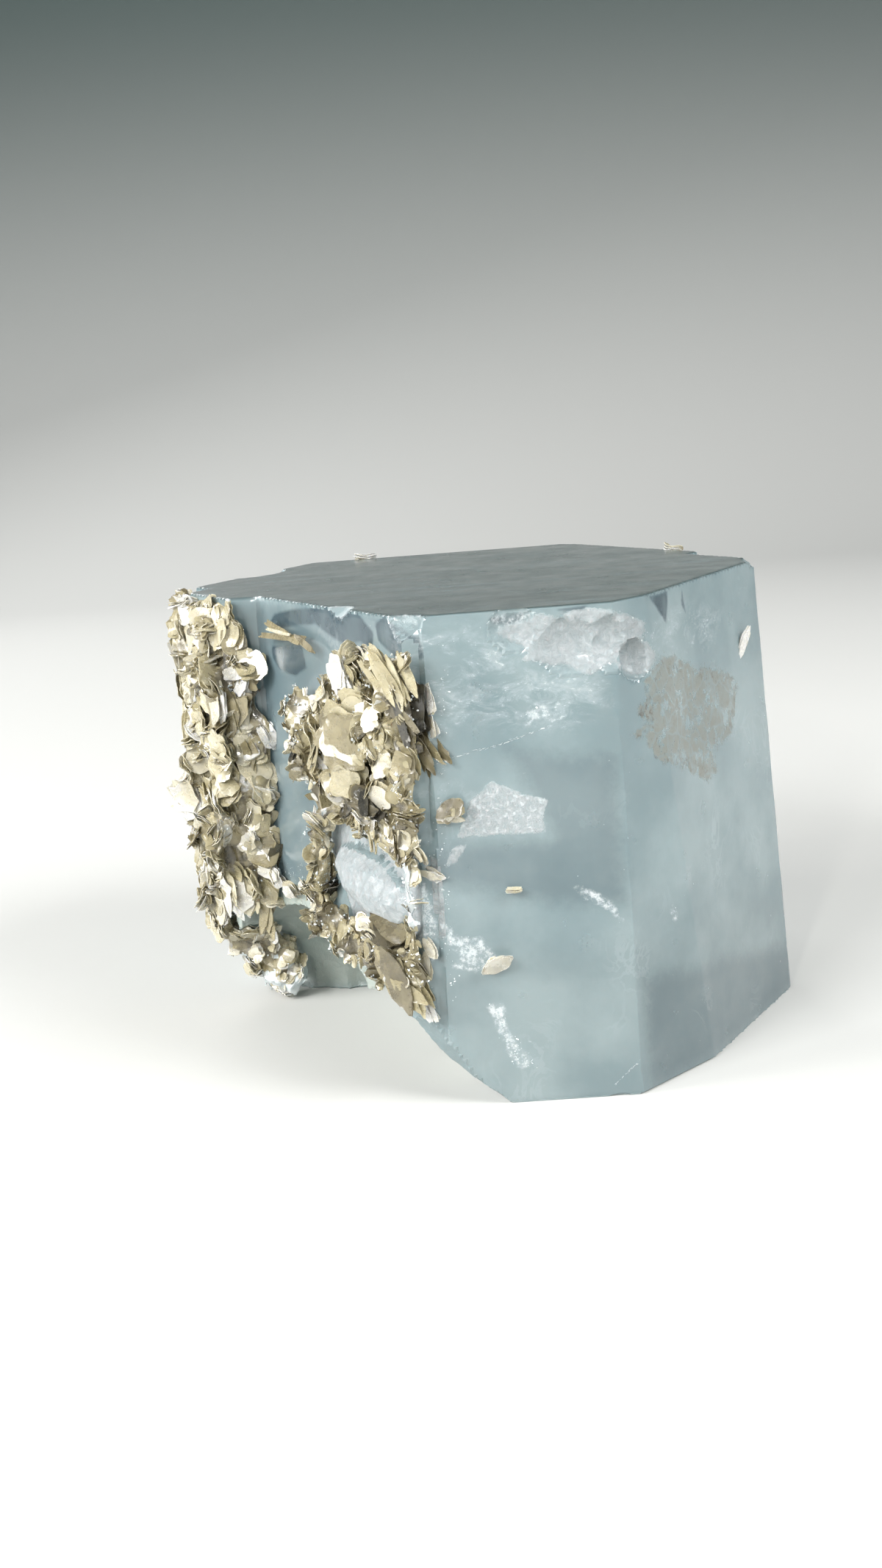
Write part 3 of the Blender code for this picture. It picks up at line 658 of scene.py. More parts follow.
def makeLeaf(cuts, bend, waist, thickness, seed):
    # one thin curved leaf with a ragged outline
    pickOnly()
    bpy.ops.mesh.primitive_grid_add(x_subdivisions=cuts, y_subdivisions=cuts, size=1)
    leaf = bpy.context.object
    points, normals = readPoints(leaf)
    points *= mm
    for i, (x, y) in enumerate(points[:, :2]):
        reach = max(abs(x), abs(y)) / max(math.hypot(x, y), 1e-6)
        x, y = x * reach ** 0.6, y * reach ** 0.6
        ragged = 1 + 0.26 * noise.noise(Vector((x * 3, y * 3, seed * 5.1)))
        ripple = 0.03 * noise.noise(Vector((x * 5, y * 5, seed * 9.3)))
        points[i] = (x * ragged, y * ragged * waist, bend * x * x - 0.3 * bend * y * y + ripple)
    writePoints(leaf, points / mm)
    useModifier(leaf, "SOLIDIFY", thickness=thickness, offset=0.0)
    return takeShape()


def makeGrain(flatness, seed):
    pickOnly()
    bpy.ops.mesh.primitive_ico_sphere_add(subdivisions=1, radius=0.5)
    with editMode():
        bpy.ops.transform.resize(value=(1, 0.85, flatness))
        bpy.ops.transform.vertex_random(offset=0.12, seed=seed)
    return takeShape()


shapes = {
    "bookStepped": makeBook(9, 0.1, 3, 7),
    "leaf": makeLeaf(4, 0.35, 0.8, 0.035, 1), "leafFlat": makeLeaf(4, 0.1, 0.9, 0.035, 2),
    "leafNarrow": makeLeaf(4, 0.2, 0.4, 0.04, 3), "leafCup": makeLeaf(4, 0.8, 0.9, 0.04, 4),
    "sheet": makeLeaf(8, 0.12, 0.85, 0.03, 5), "sheetFlat": makeLeaf(8, 0.03, 0.9, 0.03, 6),
    "sheetCup": makeLeaf(8, 0.8, 0.9, 0.03, 8), "sheetWide": makeLeaf(10, 0.25, 1.0, 0.03, 11),
    "grain": makeGrain(0.7, 1), "chip": makeGrain(0.35, 2),
}
print("small shapes:", {name: len(faces) for name, (points, faces) in shapes.items()})


def joinCopies(name, placings, material):
    # placings are (shape, place mm, plate normal, long way, (length, width, thickness) mm, tone)
    allPoints, allFaces, tones, leaves, start = [], [], [], [], 0
    for shape, place, normal, longWay, size, tone in placings:
        points, faces = shapes[shape]
        up = Vector(normal).normalized()
        along = Vector(longWay) - up * up.dot(Vector(longWay))
        along = along.normalized() if along.length > 1e-3 else up.orthogonal().normalized()
        turn = np.array([along, up.cross(along), up])
        sized = points * np.array(size)
        allPoints.append(sized @ turn + np.array(place))
        allFaces += [tuple(start + i for i in face) for face in faces]
        tones.append(np.full(len(points), tone))
        leaves.append(sized + np.array(place) * 3)
        start += len(points)
    mesh = bpy.data.meshes.new(name)
    mesh.from_pydata((np.concatenate(allPoints) * mm).tolist(), [], allFaces)
    piece = putObject(name, mesh)
    addAttribute(piece, "tone", np.clip(np.concatenate(tones), 0, 1))
    addAttribute(piece, "leaf", np.concatenate(leaves))
    mesh.materials.append(material)
    smoothBelow(piece, 38)
    return piece


def leafStack(shape, place, normal, longWay, size, leaves, tone, chance, gap=0.11, slide=0.12, fan=0.06):
    # leaves lying on each other, each slipped, turned and shaded a little differently
    normal, longWay, placings = unit(np.array(normal, float)), np.array(longWay, float), []
    for step in range(leaves):
        length = size[0] * chance.uniform(0.72, 1.0)
        width = size[1] * chance.uniform(0.72, 1.0)
        spot = np.array(place) + normal * gap * (step - leaves / 2) + chance.normal(size=3) * slide * size[0] * 0.5
        thickness = math.sqrt(length * width) * chance.uniform(0.7, 1.15)
        placings.append((shape, spot, normal + chance.normal(size=3) * fan,
                         longWay + chance.normal(size=3) * fan * 4, (length, width, thickness),
                         tone + chance.normal() * 0.09))
    return placings


muscovite = makeMuscoviteMaterial()
albite = makeSugarMaterial()


def crustPoints(node, count, chance):
    # random places on a packed crust in mm, with their normals
    data = frame["nodes"][node].data
    data.calc_loop_triangles()
    corners = np.array([[data.vertices[i].co[:] for i in t.vertices] for t in data.loop_triangles]) / mm
    cross = np.cross(corners[:, 1] - corners[:, 0], corners[:, 2] - corners[:, 0])
    area = np.linalg.norm(cross, axis=1) / 2
    normals = cross / np.maximum(area, 1e-12)[:, None] / 2
    weight = area * ((normals * fromAxis(corners.mean(1))).sum(1) > -0.1)
    picked = chance.choice(len(area), count, p=weight / weight.sum())
    u, v = chance.random(count), chance.random(count)
    flip = u + v > 1
    u[flip], v[flip] = 1 - u[flip], 1 - v[flip]
    places = corners[picked, 0] + u[:, None] * (corners[picked, 1] - corners[picked, 0]) \
        + v[:, None] * (corners[picked, 2] - corners[picked, 0])
    return places, normals[picked]


crusts = {
    "micaRim": {
        "node": "muscovite_left_rim", "seed": 8, "voxel": 0.45, "lump": 2.8, "lumpHeight": 0.8, "sink": (0.3, 0.15),
        "stacks": 430, "leaves": (3, 6), "sizes": (1.8, 4.8), "stand": 0.28, "run": 80, "grains": 220,
        "tail": 12.0, "tone": -0.02,
        "kinds": ["leafCup", "leafCup", "leaf", "leafFlat"], "grainSizes": (0.12, 0.4), "groundShadeTone": 0.5,
        "proud": (0.85, 0.25)},
    # the belt's tone shift darkens its mica against the rim's: a painted shade on the front
    "micaBelt": {
        "node": "muscovite_front_belt", "seed": 3, "voxel": 0.45, "lump": 1.8, "lumpHeight": 0.6, "sink": (0.3, 0.15),
        "stacks": 600, "leaves": (2, 6), "sizes": (0.9, 3.0), "stand": 0.45, "run": -62, "grains": 900,
        "tail": 0.0, "tone": -0.14,
        "kinds": ["leaf", "leafFlat", "leafNarrow", "leafNarrow", "leafCup", "bookStepped"],
        "grainSizes": (0.12, 0.42), "groundShadeTone": 0.55, "proud": (0.9, 0.8)},
}
# champagne, silver and brown plates: tone, spread, share
shades = [(0.66, 0.09, 0.6), (0.93, 0.05, 0.22), (0.36, 0.1, 0.18)]

# where the belt's right strand is frosted beryl and white grains instead of mica, as the eye sees it on side 5
strandFrost = [(9.0, 24.5), (14.0, 25.2), (20.0, 24.4), (24.0, 23.0), (27.5, 21.8), (32.0, 21.2), (33.0, 12.5),
               (29.0, 13.5), (27.0, 17.2), (14.0, 16.6), (8.5, 18.6)]

# single books on a side, as (along, height, lift, (length, width), leaves, shape,
#   tip off the side and the way it tips, way of its long axis, tone), mm and degrees
heroes = {
    "micaBelt": [(5, [
        (12.6, 34.8, 1, (6, 5.6), 6, "sheetWide", 40, 0, 80, 0.42),   # the large silver plate
        (14, 30.6, 1, (4.4, 4.4), 5, "sheetWide", 40, -20, 70, 0.58),
        (4.9, 33, 0.5, (5.2, 2.8), 6, "sheetCup", 34, 180, 88, 0.55),   # the cup beside it
        (7.2, 31.4, 0.8, (2.8, 0.9), 2, "sheetFlat", 30, 0, 40, 0.98),
        (7.2, 31.2, 0.9, (2.6, 0.8), 2, "sheetFlat", 35, 0, 110, 0.95),
        (5.6, 29.2, 0.5, (2.8, 0.9), 3, "sheet", 40, 180, -75, 0.22),
        (8.2, 29, 0.5, (2.6, 0.8), 3, "sheet", 30, 0, -60, 0.3),
        (27.2, 39.6, 1.2, (6.8, 2.2), 8, "sheetFlat", 30, 0, -62, 0.04),   # long dark blades
        (29.2, 35.6, 0.6, (4.6, 1.5), 5, "sheet", 30, 0, -62, 0.3),
        (24, 38, 0.9, (6.6, 1), 6, "sheetFlat", 30, 0, -58, 0.18),
        (21.6, 41.8, 0.5, (5.6, 1.2), 5, "sheet", 35, 0, -57, 0.62),
        (18.6, 41.2, 0.5, (5.2, 0.9), 4, "sheetFlat", 40, 0, -62, 0.8),
        (24.4, 41.4, 0.4, (5.4, 1.5), 5, "sheet", 30, 0, -58, 0.5),
        (25.2, 34.4, 0.5, (3.2, 2.4), 5, "sheet", 28, -20, -60, 0.42),
        (29.4, 40.3, 0.4, (3, 1.7), 4, "sheetFlat", 20, 20, -70, 1),
        (30, 37.8, 0.4, (2.4, 1.3), 3, "sheetFlat", 20, 20, -70, 0.97),
        (11.6, 40.9, 0.6, (3.9, 2.4), 6, "sheetFlat", 22, 0, 86, 0.98),   # the silver block
        (15.6, 43, 0.4, (2.5, 2.1), 5, "sheetCup", 26, 60, 30, 0.36),
        (15.2, 41, 0.6, (3.1, 2.7), 6, "sheetCup", 26, -60, 10, 0.5),
        (14.4, 38.2, 0.5, (3.2, 2.8), 5, "sheet", 24, -20, 20, 0.6),
        (17.6, 37.2, 0.4, (2.8, 2.4), 4, "sheet", 24, 30, 60, 0.68),
        (7.4, 39, 0.3, (2.4, 2.2), 4, "sheetCup", 26, 120, 40, 0.68),
        (5.6, 37.2, 0.3, (2.6, 1.8), 4, "sheetCup", 26, 150, 60, 0.74),
        (15.9, 28.4, 0.6, (4.6, 1.5), 6, "sheetFlat", 46, 60, -12, 0.08),
        (19.8, 33, 0.4, (3, 2.4), 4, "sheet", 26, 0, 60, 0.7),
        (19.4, 30, 0.4, (2.8, 2.2), 4, "sheet", 30, 0, -30, 0.78),
        (25.2, 29.2, 0.5, (3.4, 2.8), 5, "sheetCup", 28, -30, 40, 0.64),
        (22, 25.4, 0.4, (4, 1.2), 5, "sheet", 40, 180, -78, 0.2),
        (25.2, 25.2, 0.4, (3.8, 2.2), 5, "sheetCup", 30, -60, -20, 0.78),
        (28, 23.8, 0.3, (2.8, 1.3), 4, "sheet", 34, -40, -30, 0.86),
        (-0.8, 31.9, 0.2, (2.6, 1.5), 3, "sheet", 45, -90, 10, 0.92),
        (7.3, 25.8, 0.5, (4.4, 1), 4, "sheet", 36, 0, 86, 0.86),
        (6.4, 22.4, 0.4, (3.8, 0.9), 4, "sheet", 36, 0, 88, 0.42),
        (6, 19.4, 0.4, (3, 0.9), 3, "sheetFlat", 30, 0, 84, 0.3),
        (20, 16.4, 0.5, (6.6, 2.7), 9, "sheetFlat", 58, 70, -24, 0.1),   # brown books, split
        (20.6, 12.2, 0.4, (6.8, 3.3), 7, "sheet", 30, 0, -44, 0.3),
        (23.4, 11.2, 0.4, (4.6, 1.5), 5, "sheet", 34, 0, -50, 0.52),
        (27, 16.6, 0.3, (2.6, 1.7), 4, "sheet", 30, 20, -40, 0.95),
        (25.4, 14.2, 0.3, (3.2, 1.2), 4, "sheet", 34, 10, -70, 0.8),
        (26.2, 10, 0.3, (3, 1.1), 3, "sheetFlat", 30, 0, -52, 1),
        (14.2, 14.4, 0.3, (2.4, 2), 4, "sheetCup", 26, -40, 10, 0.7),
        (11.4, 14.8, 0.3, (2.2, 1.9), 4, "sheetCup", 26, -60, 30, 0.6),
    ])],
    "micaRim": [(4.6, [(-2, 39.6, 0.3, (3.6, 1.8), 5, "sheet", 62, 100, 60, 0.3)]), (5, [
        (-21.6, 45, 0.3, (3.6, 3.2), 5, "sheetCup", 24, 60, 40, 0.66),   # up to the top edge
        (-25.6, 44, 0.3, (3.2, 3), 5, "sheetCup", 24, 150, 60, 0.6),
        (-17.6, 44.6, 0.3, (3.4, 3), 5, "sheetCup", 26, 30, 20, 0.6),
        (-19.4, 42.6, 0.4, (4, 3.2), 5, "sheet", 24, 0, 70, 0.7),
        (-14.6, 42.8, 0.3, (3.4, 2.4), 5, "sheetCup", 30, 0, 80, 0.5),
        (-15.6, 38.4, 0.5, (3.2, 1.6), 4, "sheetFlat", 24, 0, 10, 1),
        (-13.4, 37, 0.5, (2.4, 1.6), 4, "sheetFlat", 24, 20, 60, 1),
        (-12.8, 35, 0.4, (2.6, 1.2), 3, "sheet", 24, 0, 70, 0.97),
        (-16.4, 33.4, 0.6, (5.6, 3.4), 6, "sheet", 30, 0, 66, 0.3),
        (-13.6, 28.6, 0.5, (4.8, 3), 5, "sheet", 32, 0, 74, 0.34),
        (-19.8, 28.6, 0.4, (3.6, 3), 5, "sheetCup", 26, -60, 30, 0.62),
        (-24, 35.4, 0.3, (3.6, 3.2), 5, "sheetCup", 26, -120, 60, 0.62),
        (-26.5, 31, 0.3, (3.8, 3.2), 5, "sheetCup", 28, -90, 10, 0.6),
        (-22.5, 22, 0.3, (3.8, 3.2), 5, "sheetCup", 26, 200, 40, 0.6),
        (-12.6, 22.6, 0.4, (3.6, 2.4), 5, "sheetCup", 30, 0, 80, 0.72),
        (-19.4, 12.4, 0.7, (8, 2.2), 6, "sheet", 30, 0, -84, 0.98),   # silver, upright
        (-21.8, 12, 0.5, (5.6, 1.6), 4, "sheet", 34, 0, -86, 0.9),
        (-11.6, 11.6, 0.5, (6, 1.7), 5, "sheet", 36, 0, 86, 0.36),
        (-14.6, 12.6, 0.5, (5, 1.6), 5, "sheet", 30, 0, 84, 0.7),
        (-14.4, 19.4, 0.5, (3, 2.2), 4, "sheetCup", 28, 0, 40, 0.9),
        (-12, 17.8, 0.5, (3, 2), 4, "sheetCup", 28, 0, -30, 0.97),   # across to the belt
        (-9.4, 16.5, 0.5, (2.9, 1.9), 4, "sheetCup", 30, 0, -24, 0.97),
        (-6.4, 15.9, 0.5, (2.9, 1.9), 4, "sheetCup", 30, -60, -5, 0.95),
        (-3.4, 15.9, 0.5, (2.8, 1.9), 4, "sheetCup", 30, -60, 8, 0.86),
        (-0.6, 16.7, 0.5, (2.7, 1.7), 4, "sheetCup", 30, -80, 30, 0.8),
        (1.8, 18, 0.4, (2.6, 1.5), 3, "sheet", 30, 180, 50, 0.72),
    ])],
}


def eyeOffFrost(points):
    # mm inside the strand's frosted outline, as the eye sees it on side 5
    outward, sideways = (np.array(way) for way in sideWays(5))
    eye, axis = np.array(eyePlace()), np.array(prism["axis"])
    rays = np.asarray(points) - eye
    reach = prism["leftReach"] * (1 + prism["taper"] * 0.6)
    seen = eye - axis + rays * ((reach - (eye - axis) @ outward) / (rays @ outward))[:, None]
    return insideBy(np.column_stack((seen @ sideways, seen[:, 2])), strandFrost)


def makeGround(name, settings):
    # the crust under the flakes: close-packed rounded lumps, each with its own tone, toned dark as painted shade
    # between the flakes and darker again in its low places
    ground = copyOfNode(settings["node"], name + "Ground")
    useModifier(ground, "REMESH", mode="VOXEL", voxel_size=settings["voxel"] * mm)
    points, normals = readPoints(ground)
    swell, tones = np.zeros(len(points)), np.zeros(len(points))
    for i, point in enumerate(points):
        near, seeds = noise.voronoi(Vector(point) / settings["lump"])
        small, smallSeeds = noise.voronoi(Vector(point) / settings["lump"] * 2.3)
        swell[i] = (0.45 - near[0]) + 0.35 * (0.4 - small[0])
        tones[i] = noise.cell(seeds[0] * 7.3) * 0.6 + noise.cell(smallSeeds[0] * 5.1) * 0.4
    fine = lumps(points, 0.5, 4.0)
    swell = np.clip(swell, -0.8, 0.22) * settings["lumpHeight"] + 0.08 * fine
    low, high = (np.array(corner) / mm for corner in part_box(settings["node"]))
    swell -= settings["sink"][0] + settings["sink"][1] * np.clip((normals * fromAxis(points)).sum(1), 0, 1)
    writePoints(ground, np.clip(points + normals * swell[:, None], low - 0.3, high + 0.3))
    # painted shade: the ground is toned dark between the flakes, and darker again where it is sunk
    addAttribute(ground, "tone", np.clip(settings["groundShadeTone"] + 0.32 * tones - 0.5 * (swell < -0.25) * 0.4, 0, 1))
    addAttribute(ground, "leaf", points + normals)
    ground.data.materials.append(muscovite)
    ground.data.materials.append(albite)
    centres = np.array([face.center[:] for face in ground.data.polygons]) / mm
    frosted = eyeOffFrost(centres) + 0.6 * lumps(centres, 1.0, 3.0) > 0
    if name == "micaRim":
        frosted = centres[:, 2] + 3.0 * lumps(centres, 1.6, 3.0) < settings["tail"] * 0.35
    ground.data.polygons.foreach_set("material_index", frosted.astype(int))
    smoothBelow(ground, 50)
    return ground


def bookWays(side, tip, way, run):
    # a book's plate normal and long way, from its tip off the side, the way it tips and its long way
    tip, way, run = (math.radians(angle) for angle in (tip, way, run))
    (outward, sideways), up = sideWays(side), Vector((0, 0, 1))
    normal = outward * math.cos(tip) + (sideways * math.cos(way) + up * math.sin(way)) * math.sin(tip)
    return outward, normal, sideways * math.cos(run) + up * math.sin(run)


def heroPlacings(books, chance):
    placings = []
    for side, (along, height, lift, size, leaves, shape, tip, way, run, tone) in (
            (side, book) for side, group in books for book in group):
        met = surfaceAt(side, along, height)
        if met is None:
            continue
        outward, normal, longWay = bookWays(side, tip, way, run)
        place = met[0] + outward * (lift + 0.15 * size[1] * math.sin(math.radians(tip)))
        placings += leafStack(shape, place, normal, longWay, size, leaves, tone, chance)
    return placings


def settleOnto(piece, node, front, outside):
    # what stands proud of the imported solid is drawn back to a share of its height, more at the far left
    solid = copyOfNode(node, "packedCrust")
    tree = treeOf(solid)
    bpy.data.objects.remove(solid)
    points, normals = readPoints(piece)
    for i, point in enumerate(points):
        nearest, normal, face, gap = tree.find_nearest(point)
        if gap < 2.5 and (Vector(point) - nearest).dot(normal) > 0:
            leftward = min(max(-normal.x * 1.6 - 0.6, 0), 1)
            share = front + (outside - front) * leftward
            points[i] = np.array(nearest) + (point - np.array(nearest)) * share
    writePoints(piece, points)


def makeCrust(name, settings):
    chance = np.random.default_rng(settings["seed"])
    ground = makeGround(name, settings)
    surfaces.append(treeOf(ground))
    places, normals = crustPoints(settings["node"], settings["stacks"], chance)
    frosted = eyeOffFrost(places) > 0
    run = np.array(bookWays(5, 0, 0, settings["run"])[2])
    placings = []
    for place, normal, bare in zip(places, normals, frosted):
        if bare and name == "micaBelt" and chance.random() < 0.85:
            continue
        stray = unit(chance.normal(size=3))
        plate = unit(normal * (1 - settings["stand"] * 0.5) + stray * settings["stand"])
        small, large = settings["sizes"]
        length = small + (large - small) * chance.random() ** 1.6
        width = length * chance.uniform(0.5, 1.0)
        kind = settings["kinds"][chance.integers(len(settings["kinds"]))]
        standing = math.sqrt(max(0.0, 1 - float(plate @ normal) ** 2))
        place = place - normal * (0.05 + 0.25 * length * standing)
        middle, spread, share = shades[chance.choice(3, p=[shade[2] for shade in shades])]
        tone = np.clip(chance.normal(middle, spread) + settings["tone"], 0.02, 1)
        if place[2] < settings["tail"]:   # the tail is smaller and paler
            tone, length, width = 0.45 + 0.5 * tone, length * 0.7, width * 0.7
        leaves = 1 if kind.startswith("book") else int(chance.integers(*settings["leaves"]))
        longWay = run + 0.6 * stray[[1, 2, 0]]
        placings += leafStack(kind, place, plate, longWay, (length, width), leaves, tone, chance)
    placings += heroPlacings(heroes[name], chance)
    flakes = joinCopies(name, placings, muscovite)
    settleOnto(flakes, settings["node"], *settings["proud"])
    for piece in (flakes, ground):
        finishPiece(piece, "mica", settings["node"])
        piece.data.calc_loop_triangles()
        print(piece.name, len(piece.data.loop_triangles), "triangles")

    # sugary grains caught between the plates
    places, normals = crustPoints(settings["node"], settings["grains"] * 3, chance)
    patchy = lumps(places, 3.0, 12.0) + 0.5 * lumps(places, 1.2, 14.0)
    keep = np.argsort(-patchy)[:settings["grains"]]
    small, large = settings["grainSizes"]
    placings = []
    for place, normal in zip(places[keep], normals[keep]):
        size = small + (large - small) * chance.random() ** 2
        place = place - normal * chance.uniform(-0.1, 0.25)
        placings.append(("grain", place, chance.normal(size=3), chance.normal(size=3),
                         (size, size * 0.85, size), chance.uniform(0.3, 1.0)))
    grains = joinCopies(name + "Sugar", placings, albite)
    finishPiece(grains, "beryl")


for name, settings in crusts.items():
    makeCrust(name, settings)


# loose flakes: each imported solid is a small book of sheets, as (side, shift along, up and out, tip,
#   way, run, (length, width), leaves, shape, tone, gap)
looseFlakes = {
    "fanFlake": {"node": "muscovite_flake_front", "books": [
        (0, (-0.2, 0.3, 0.0), 30, -65, 30, (3.3, 2.5), 3, "sheet", 0.86, 0.07),
        (0, (-0.9, 0.5, -0.1), 26, 120, 60, (1.5, 1.1), 2, "sheet", 0.55, 0.07)]},
    "cornerFlake": {"node": "muscovite_flake_beside_belt", "books": [
        (0, (-1.3, 0.4, 0.0), 28, 150, 35, (3.0, 2.4), 3, "sheet", 0.36, 0.07),
        (0, (-0.9, -0.4, 0.2), 30, -60, -20, (2.2, 1.0), 3, "sheet", 0.78, 0.07),
        (0, (-0.5, 0.3, 0.2), 24, 20, 10, (1.6, 1.1), 2, "sheetFlat", 0.5, 0.07)]},
    "frontSliver": {"node": "muscovite_sliver_front", "books": [
        (0, (0.0, 0.0, 0.0), 70, 88, -6, (1.7, 0.8), 3, "sheetFlat", 0.85, 0.1)]},
    "goldenSliver": {"node": "muscovite_sliver_left", "books": [
        (5, (-0.2, 0.1, 0.0), 20, 80, 1, (11.6, 1.05), 2, "sheetFlat", 0.34, 0.05),
        (5, (-0.8, 0.2, 0.22), 20, 80, 1, (8.2, 0.45), 1, "sheetFlat", 0.74, 0.05),
        (5, (5.2, -0.6, 0.0), 22, 60, -16, (4.6, 0.9), 2, "sheet", 0.24, 0.05)]},
    "pearlyFlake": {"node": "muscovite_flake_right_edge", "books": [
        (1, (-1.0, 0.6, -0.95), 18, 200, 74, (3.4, 1.5), 3, "sheet", 1.0, 0.08),
        (1, (-0.6, 0.1, -0.95), 28, 185, 68, (3.6, 0.6), 2, "sheetFlat", 0.5, 0.08)]},
    "farGrainsLeft": {"node": "muscovite_flake_back_left", "books": [
        (3, (0.0, 0.9, -0.3), 55, 90, 10, (2.8, 1.9), 6, "sheetCup", 0.93, 0.16)]},
    "farGrainsRight": {"node": "muscovite_flake_back_right", "books": [
        (2, (0.0, 1.2, -0.3), 55, 90, 10, (2.8, 1.8), 6, "sheetCup", 0.93, 0.16)]},
}


def makeLooseFlake(name, settings, seed):
    chance = np.random.default_rng(seed)
    low, high = (Vector(corner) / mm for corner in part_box(settings["node"]))
    placings = []
    for side, shift, tip, way, run, size, leaves, shape, tone, gap in settings["books"]:
        outward, normal, longWay = bookWays(side, tip, way, run)
        place = (low + high) / 2 + sideWays(side)[1] * shift[0] + Vector((0, 0, shift[1])) + outward * shift[2]
        placings += leafStack(shape, place, normal, longWay, size, leaves, tone, chance, gap, 0.03, 0.02)
    finishPiece(joinCopies(name, placings, muscovite), "mica", settings["node"])


for seed, (name, settings) in enumerate(looseFlakes.items()):
    makeLooseFlake(name, settings, 40 + seed)
print("loose flakes:", len(looseFlakes))

# white crumbs, cracks and bruises on the faces, as (side, width of the line, count, (smallest, largest),
#   how drawn out, [(along, height), ...]), mm
crumbs = {
    "brightLine": (0, 0.05, 117, (0.12, 0.34), 3, [(-3.4, 33.5), (-0.3, 34.3), (2.8, 34.9), (4.9, 35.5),
        (7.2, 36.2)]),
    "hook": (0, 0.3, 40, (0.12, 0.45), 1, [(4.8, 36.8), (5.1, 37.8), (6.3, 38.1), (7.3, 37.4), (6.2, 36.3)]),
    "veilRow": (0, 0.45, 67, (0.1, 0.4), 1, [(-2.9, 39.6), (1, 39.8), (3.6, 40.4), (6.5, 40.4)]),
    "veilTop": (0, 0.2, 54, (0.08, 0.3), 1, [(-4.3, 43.4), (-2.7, 42.3), (-2.1, 44.7), (1.5, 44.2)]),
    "streak": (0, 0.28, 189, (0.12, 0.5), 1, [(-0.1, 9.8), (0.5, 9.2), (0.9, 7.8), (1.5, 6.4), (2, 5.2), (2.2, 4.6)]),
    "streakEnd": (0, 0.6, 117, (0.15, 0.55), 1, [(1.8, 5), (2.5, 4.4), (3.1, 4.1)]),
    "streakFork": (0, 0.2, 40, (0.1, 0.35), 1, [(0.9, 7.9), (1, 10.2)]),
    "scratch": (0, 0.02, 40, (0.1, 0.2), 3, [(11.2, 1.1), (13.7, 3.4)]),
    "edgeTrail": (0, 0.7, 117, (0.08, 0.4), 1, [(-4.4, 27.2), (-4.9, 23.4), (-4.2, 19.9), (-4.6, 17), (-3.7, 14.7)]),
    "flakeNet": (0, 0.3, 135, (0.1, 0.45), 1, [(-4, 17.7), (-1.3, 16.2), (-1.4, 14.5), (0.5, 14.1), (-2, 13.6),
        (-3.2, 14.7)]),
    # white grains beside the front left edge, put where light shows through it as painted light
    "edgeLightCrumbs": (5, 0.6, 384, (0.12, 0.45), 1, [(31.6, 43.5), (31, 37), (30.4, 30), (29.8, 20), (30.4, 13)]),
    "paleComma": (0, 0.5, 40, (0.08, 0.22), 1, [(8.8, 20.4), (11.5, 19.1), (12.9, 17)]),
    "topHook": (0.875, 0.15, 31, (0.1, 0.35), 1, [(-11, 43.1), (-10.2, 44.2), (-8.5, 43.5)]),
    "roundRim": (0, 0.12, 117, (0.12, 0.34), 1, [(17.5, 42.3), (17.8, 41.2), (17.1, 40.1), (15.5, 39.8), (14, 40.8)]),
    "spallRim": (0, 0.15, 103, (0.12, 0.38), 1, [(14.1, 46.3), (16.7, 44.8), (16.9, 43.7), (16.4, 43.3),
        (15.2, 42.8)]),
    "spallFoot": (0, 0.12, 90, (0.1, 0.3), 1, [(13.6, 41.7), (12.6, 41.3), (11.3, 40.6), (10.2, 41.1), (9, 41.8),
        (7.8, 41.7), (6.6, 42.3), (5.2, 42.3), (4.8, 42.8)]),
    "rightSpot": (0.875, 0.35, 27, (0.1, 0.35), 1, [(-11.4, 16.8), (-10.9, 15.9)]),
    "beltStrand": (5, 0.6, 336, (0.15, 0.6), 1, [(4.9, 26), (4.4, 23.1), (4.7, 20.2), (4.3, 17.9)]),
    "beltSugar": (5, 0.6, 336, (0.15, 0.7), 1, [(10.1, 42.5), (9.8, 39.1), (9.9, 37.5)]),
    "beltSugarRight": (5, 0.3, 128, (0.2, 0.8), 1, [(26.8, 40.5), (27.6, 38), (27.9, 35.5)]),
    "beltGap": (5, 0.8, 416, (0.12, 0.5), 1, [(16.5, 43), (17.6, 37), (18.1, 33), (17, 28), (19, 25)]),
    "hollowBand": (5, 0.7, 416, (0.15, 0.65), 1, [(-15, 18.6), (-11, 16.9), (-7.5, 16.4), (-3, 18), (2, 19)]),
    "rimSugar": (5, 0.7, 208, (0.2, 0.8), 1, [(-17.8, 36.5), (-15.5, 34.6), (-15.8, 32.6)]),
}


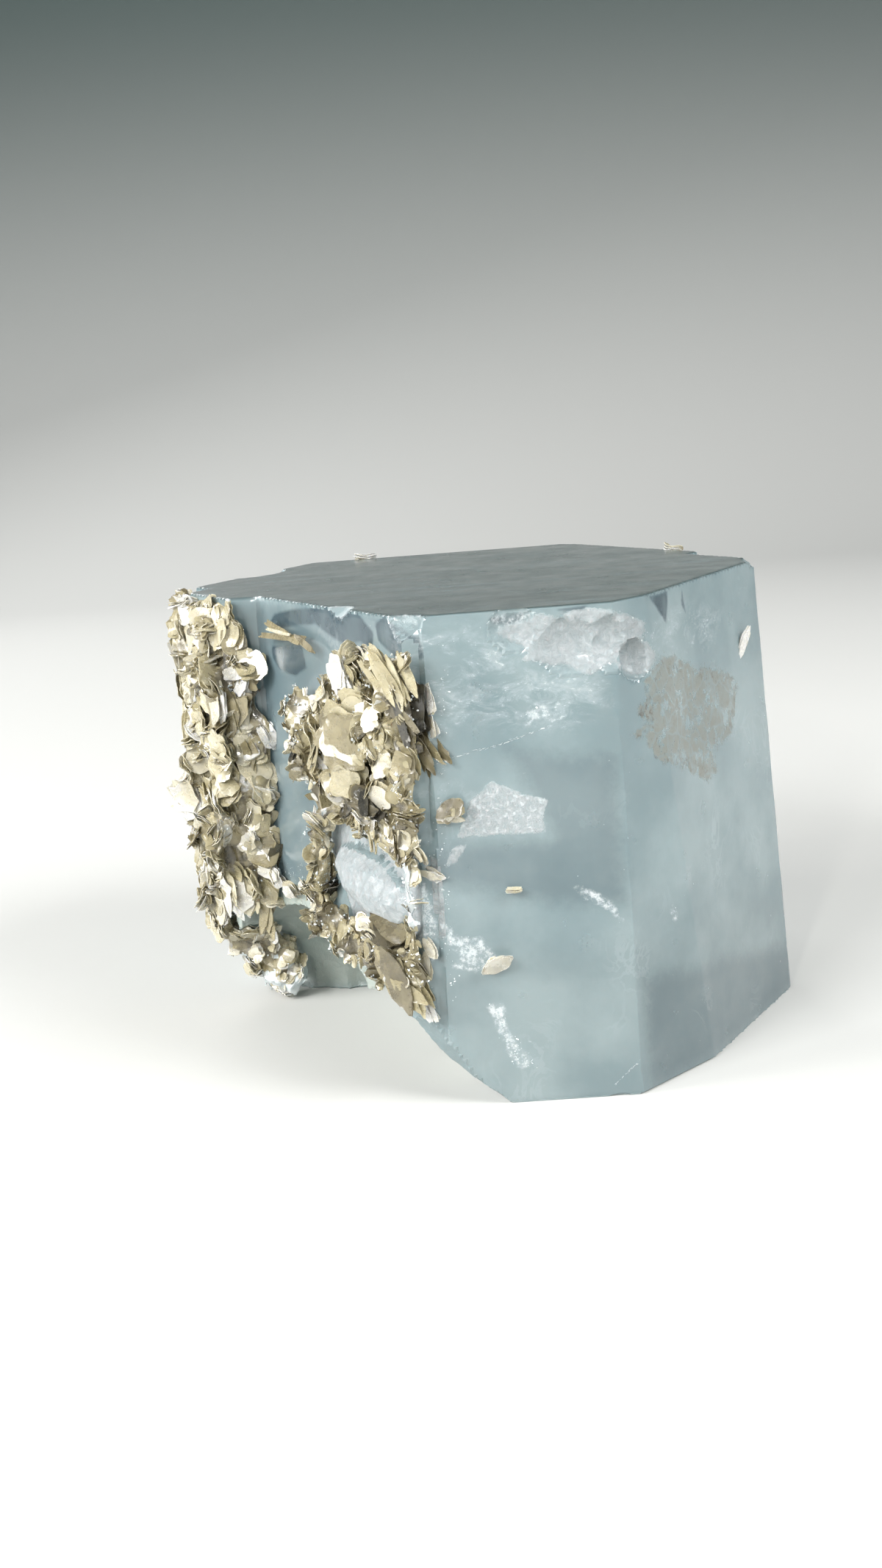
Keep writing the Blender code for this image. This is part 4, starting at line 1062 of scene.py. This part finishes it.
def makeCrumbs():
    chance = np.random.default_rng(21)
    placings = []
    for side, width, count, (small, large), stretch, line in crumbs.values():
        line = np.array(line)
        runs = np.linalg.norm(np.diff(line, axis=0), axis=1)
        reach = np.concatenate(([0], np.cumsum(runs)))
        for i in range(count):
            at = chance.uniform(0, reach[-1])
            spot, ahead = (np.array([np.interp(x, reach, line[:, axis]) for axis in (0, 1)]) for x in (at, at + 0.2))
            way = math.degrees(math.atan2(*(ahead - spot)[::-1]))
            spot += chance.normal(size=2) * width
            met = surfaceAt(side, *spot)
            if met is None:
                continue
            size = small + (large - small) * chance.random() ** 2.5
            place = met[0] - met[1] * size * 0.2
            kind = "grain" if chance.random() < 0.5 else "chip"
            longWay = np.array(bookWays(side, 0, 0, way)[2]) * (stretch - 1) * 4 + chance.normal(size=3)
            placings.append((kind, place, np.array(met[1]) + chance.normal(size=3) * 0.25, longWay,
                             (size * 1.5 * stretch, size * chance.uniform(0.5, 1.1) / stretch, size * 0.45),
                             chance.uniform(0.0, 0.8)))
    pieces = joinCopies("sugarCrumbs", placings, albite)
    finishPiece(pieces, "beryl")
    print("crumbs:", len(placings), "grains")


# dark specks of stained mica in and on the right face, as (side, along, height, size)
specks = [(0.875, -2.4, 8.1, 0.9), (0.875, -3.0, 7.3, 0.7), (0.875, -2.0, 7.0, 0.5), (0.875, -3.1, 17.4, 0.45),
          (0.875, -9.9, 13.8, 0.6), (0.875, -5.1, 12.4, 0.35), (0.875, 2.7, 12.5, 0.4), (0.875, -11.1, 3.9, 0.5),
          (0, 11.8, 17.5, 0.35)]


def makeSpecks():
    chance = np.random.default_rng(33)
    placings = []
    for side, along, height, size in specks:
        for i in range(5):
            met = surfaceAt(side, along + chance.normal() * size * 0.3, height + chance.normal() * size * 0.5)
            grain = size * chance.uniform(0.3, 0.8)
            placings.append(("chip", met[0] - met[1] * grain * 0.12, met[1], chance.normal(size=3),
                             (grain, grain * 0.8, grain * 0.5), chance.uniform(0.0, 0.12)))
    finishPiece(joinCopies("darkSpecks", placings, muscovite), "mica")


makeCrumbs()
makeSpecks()
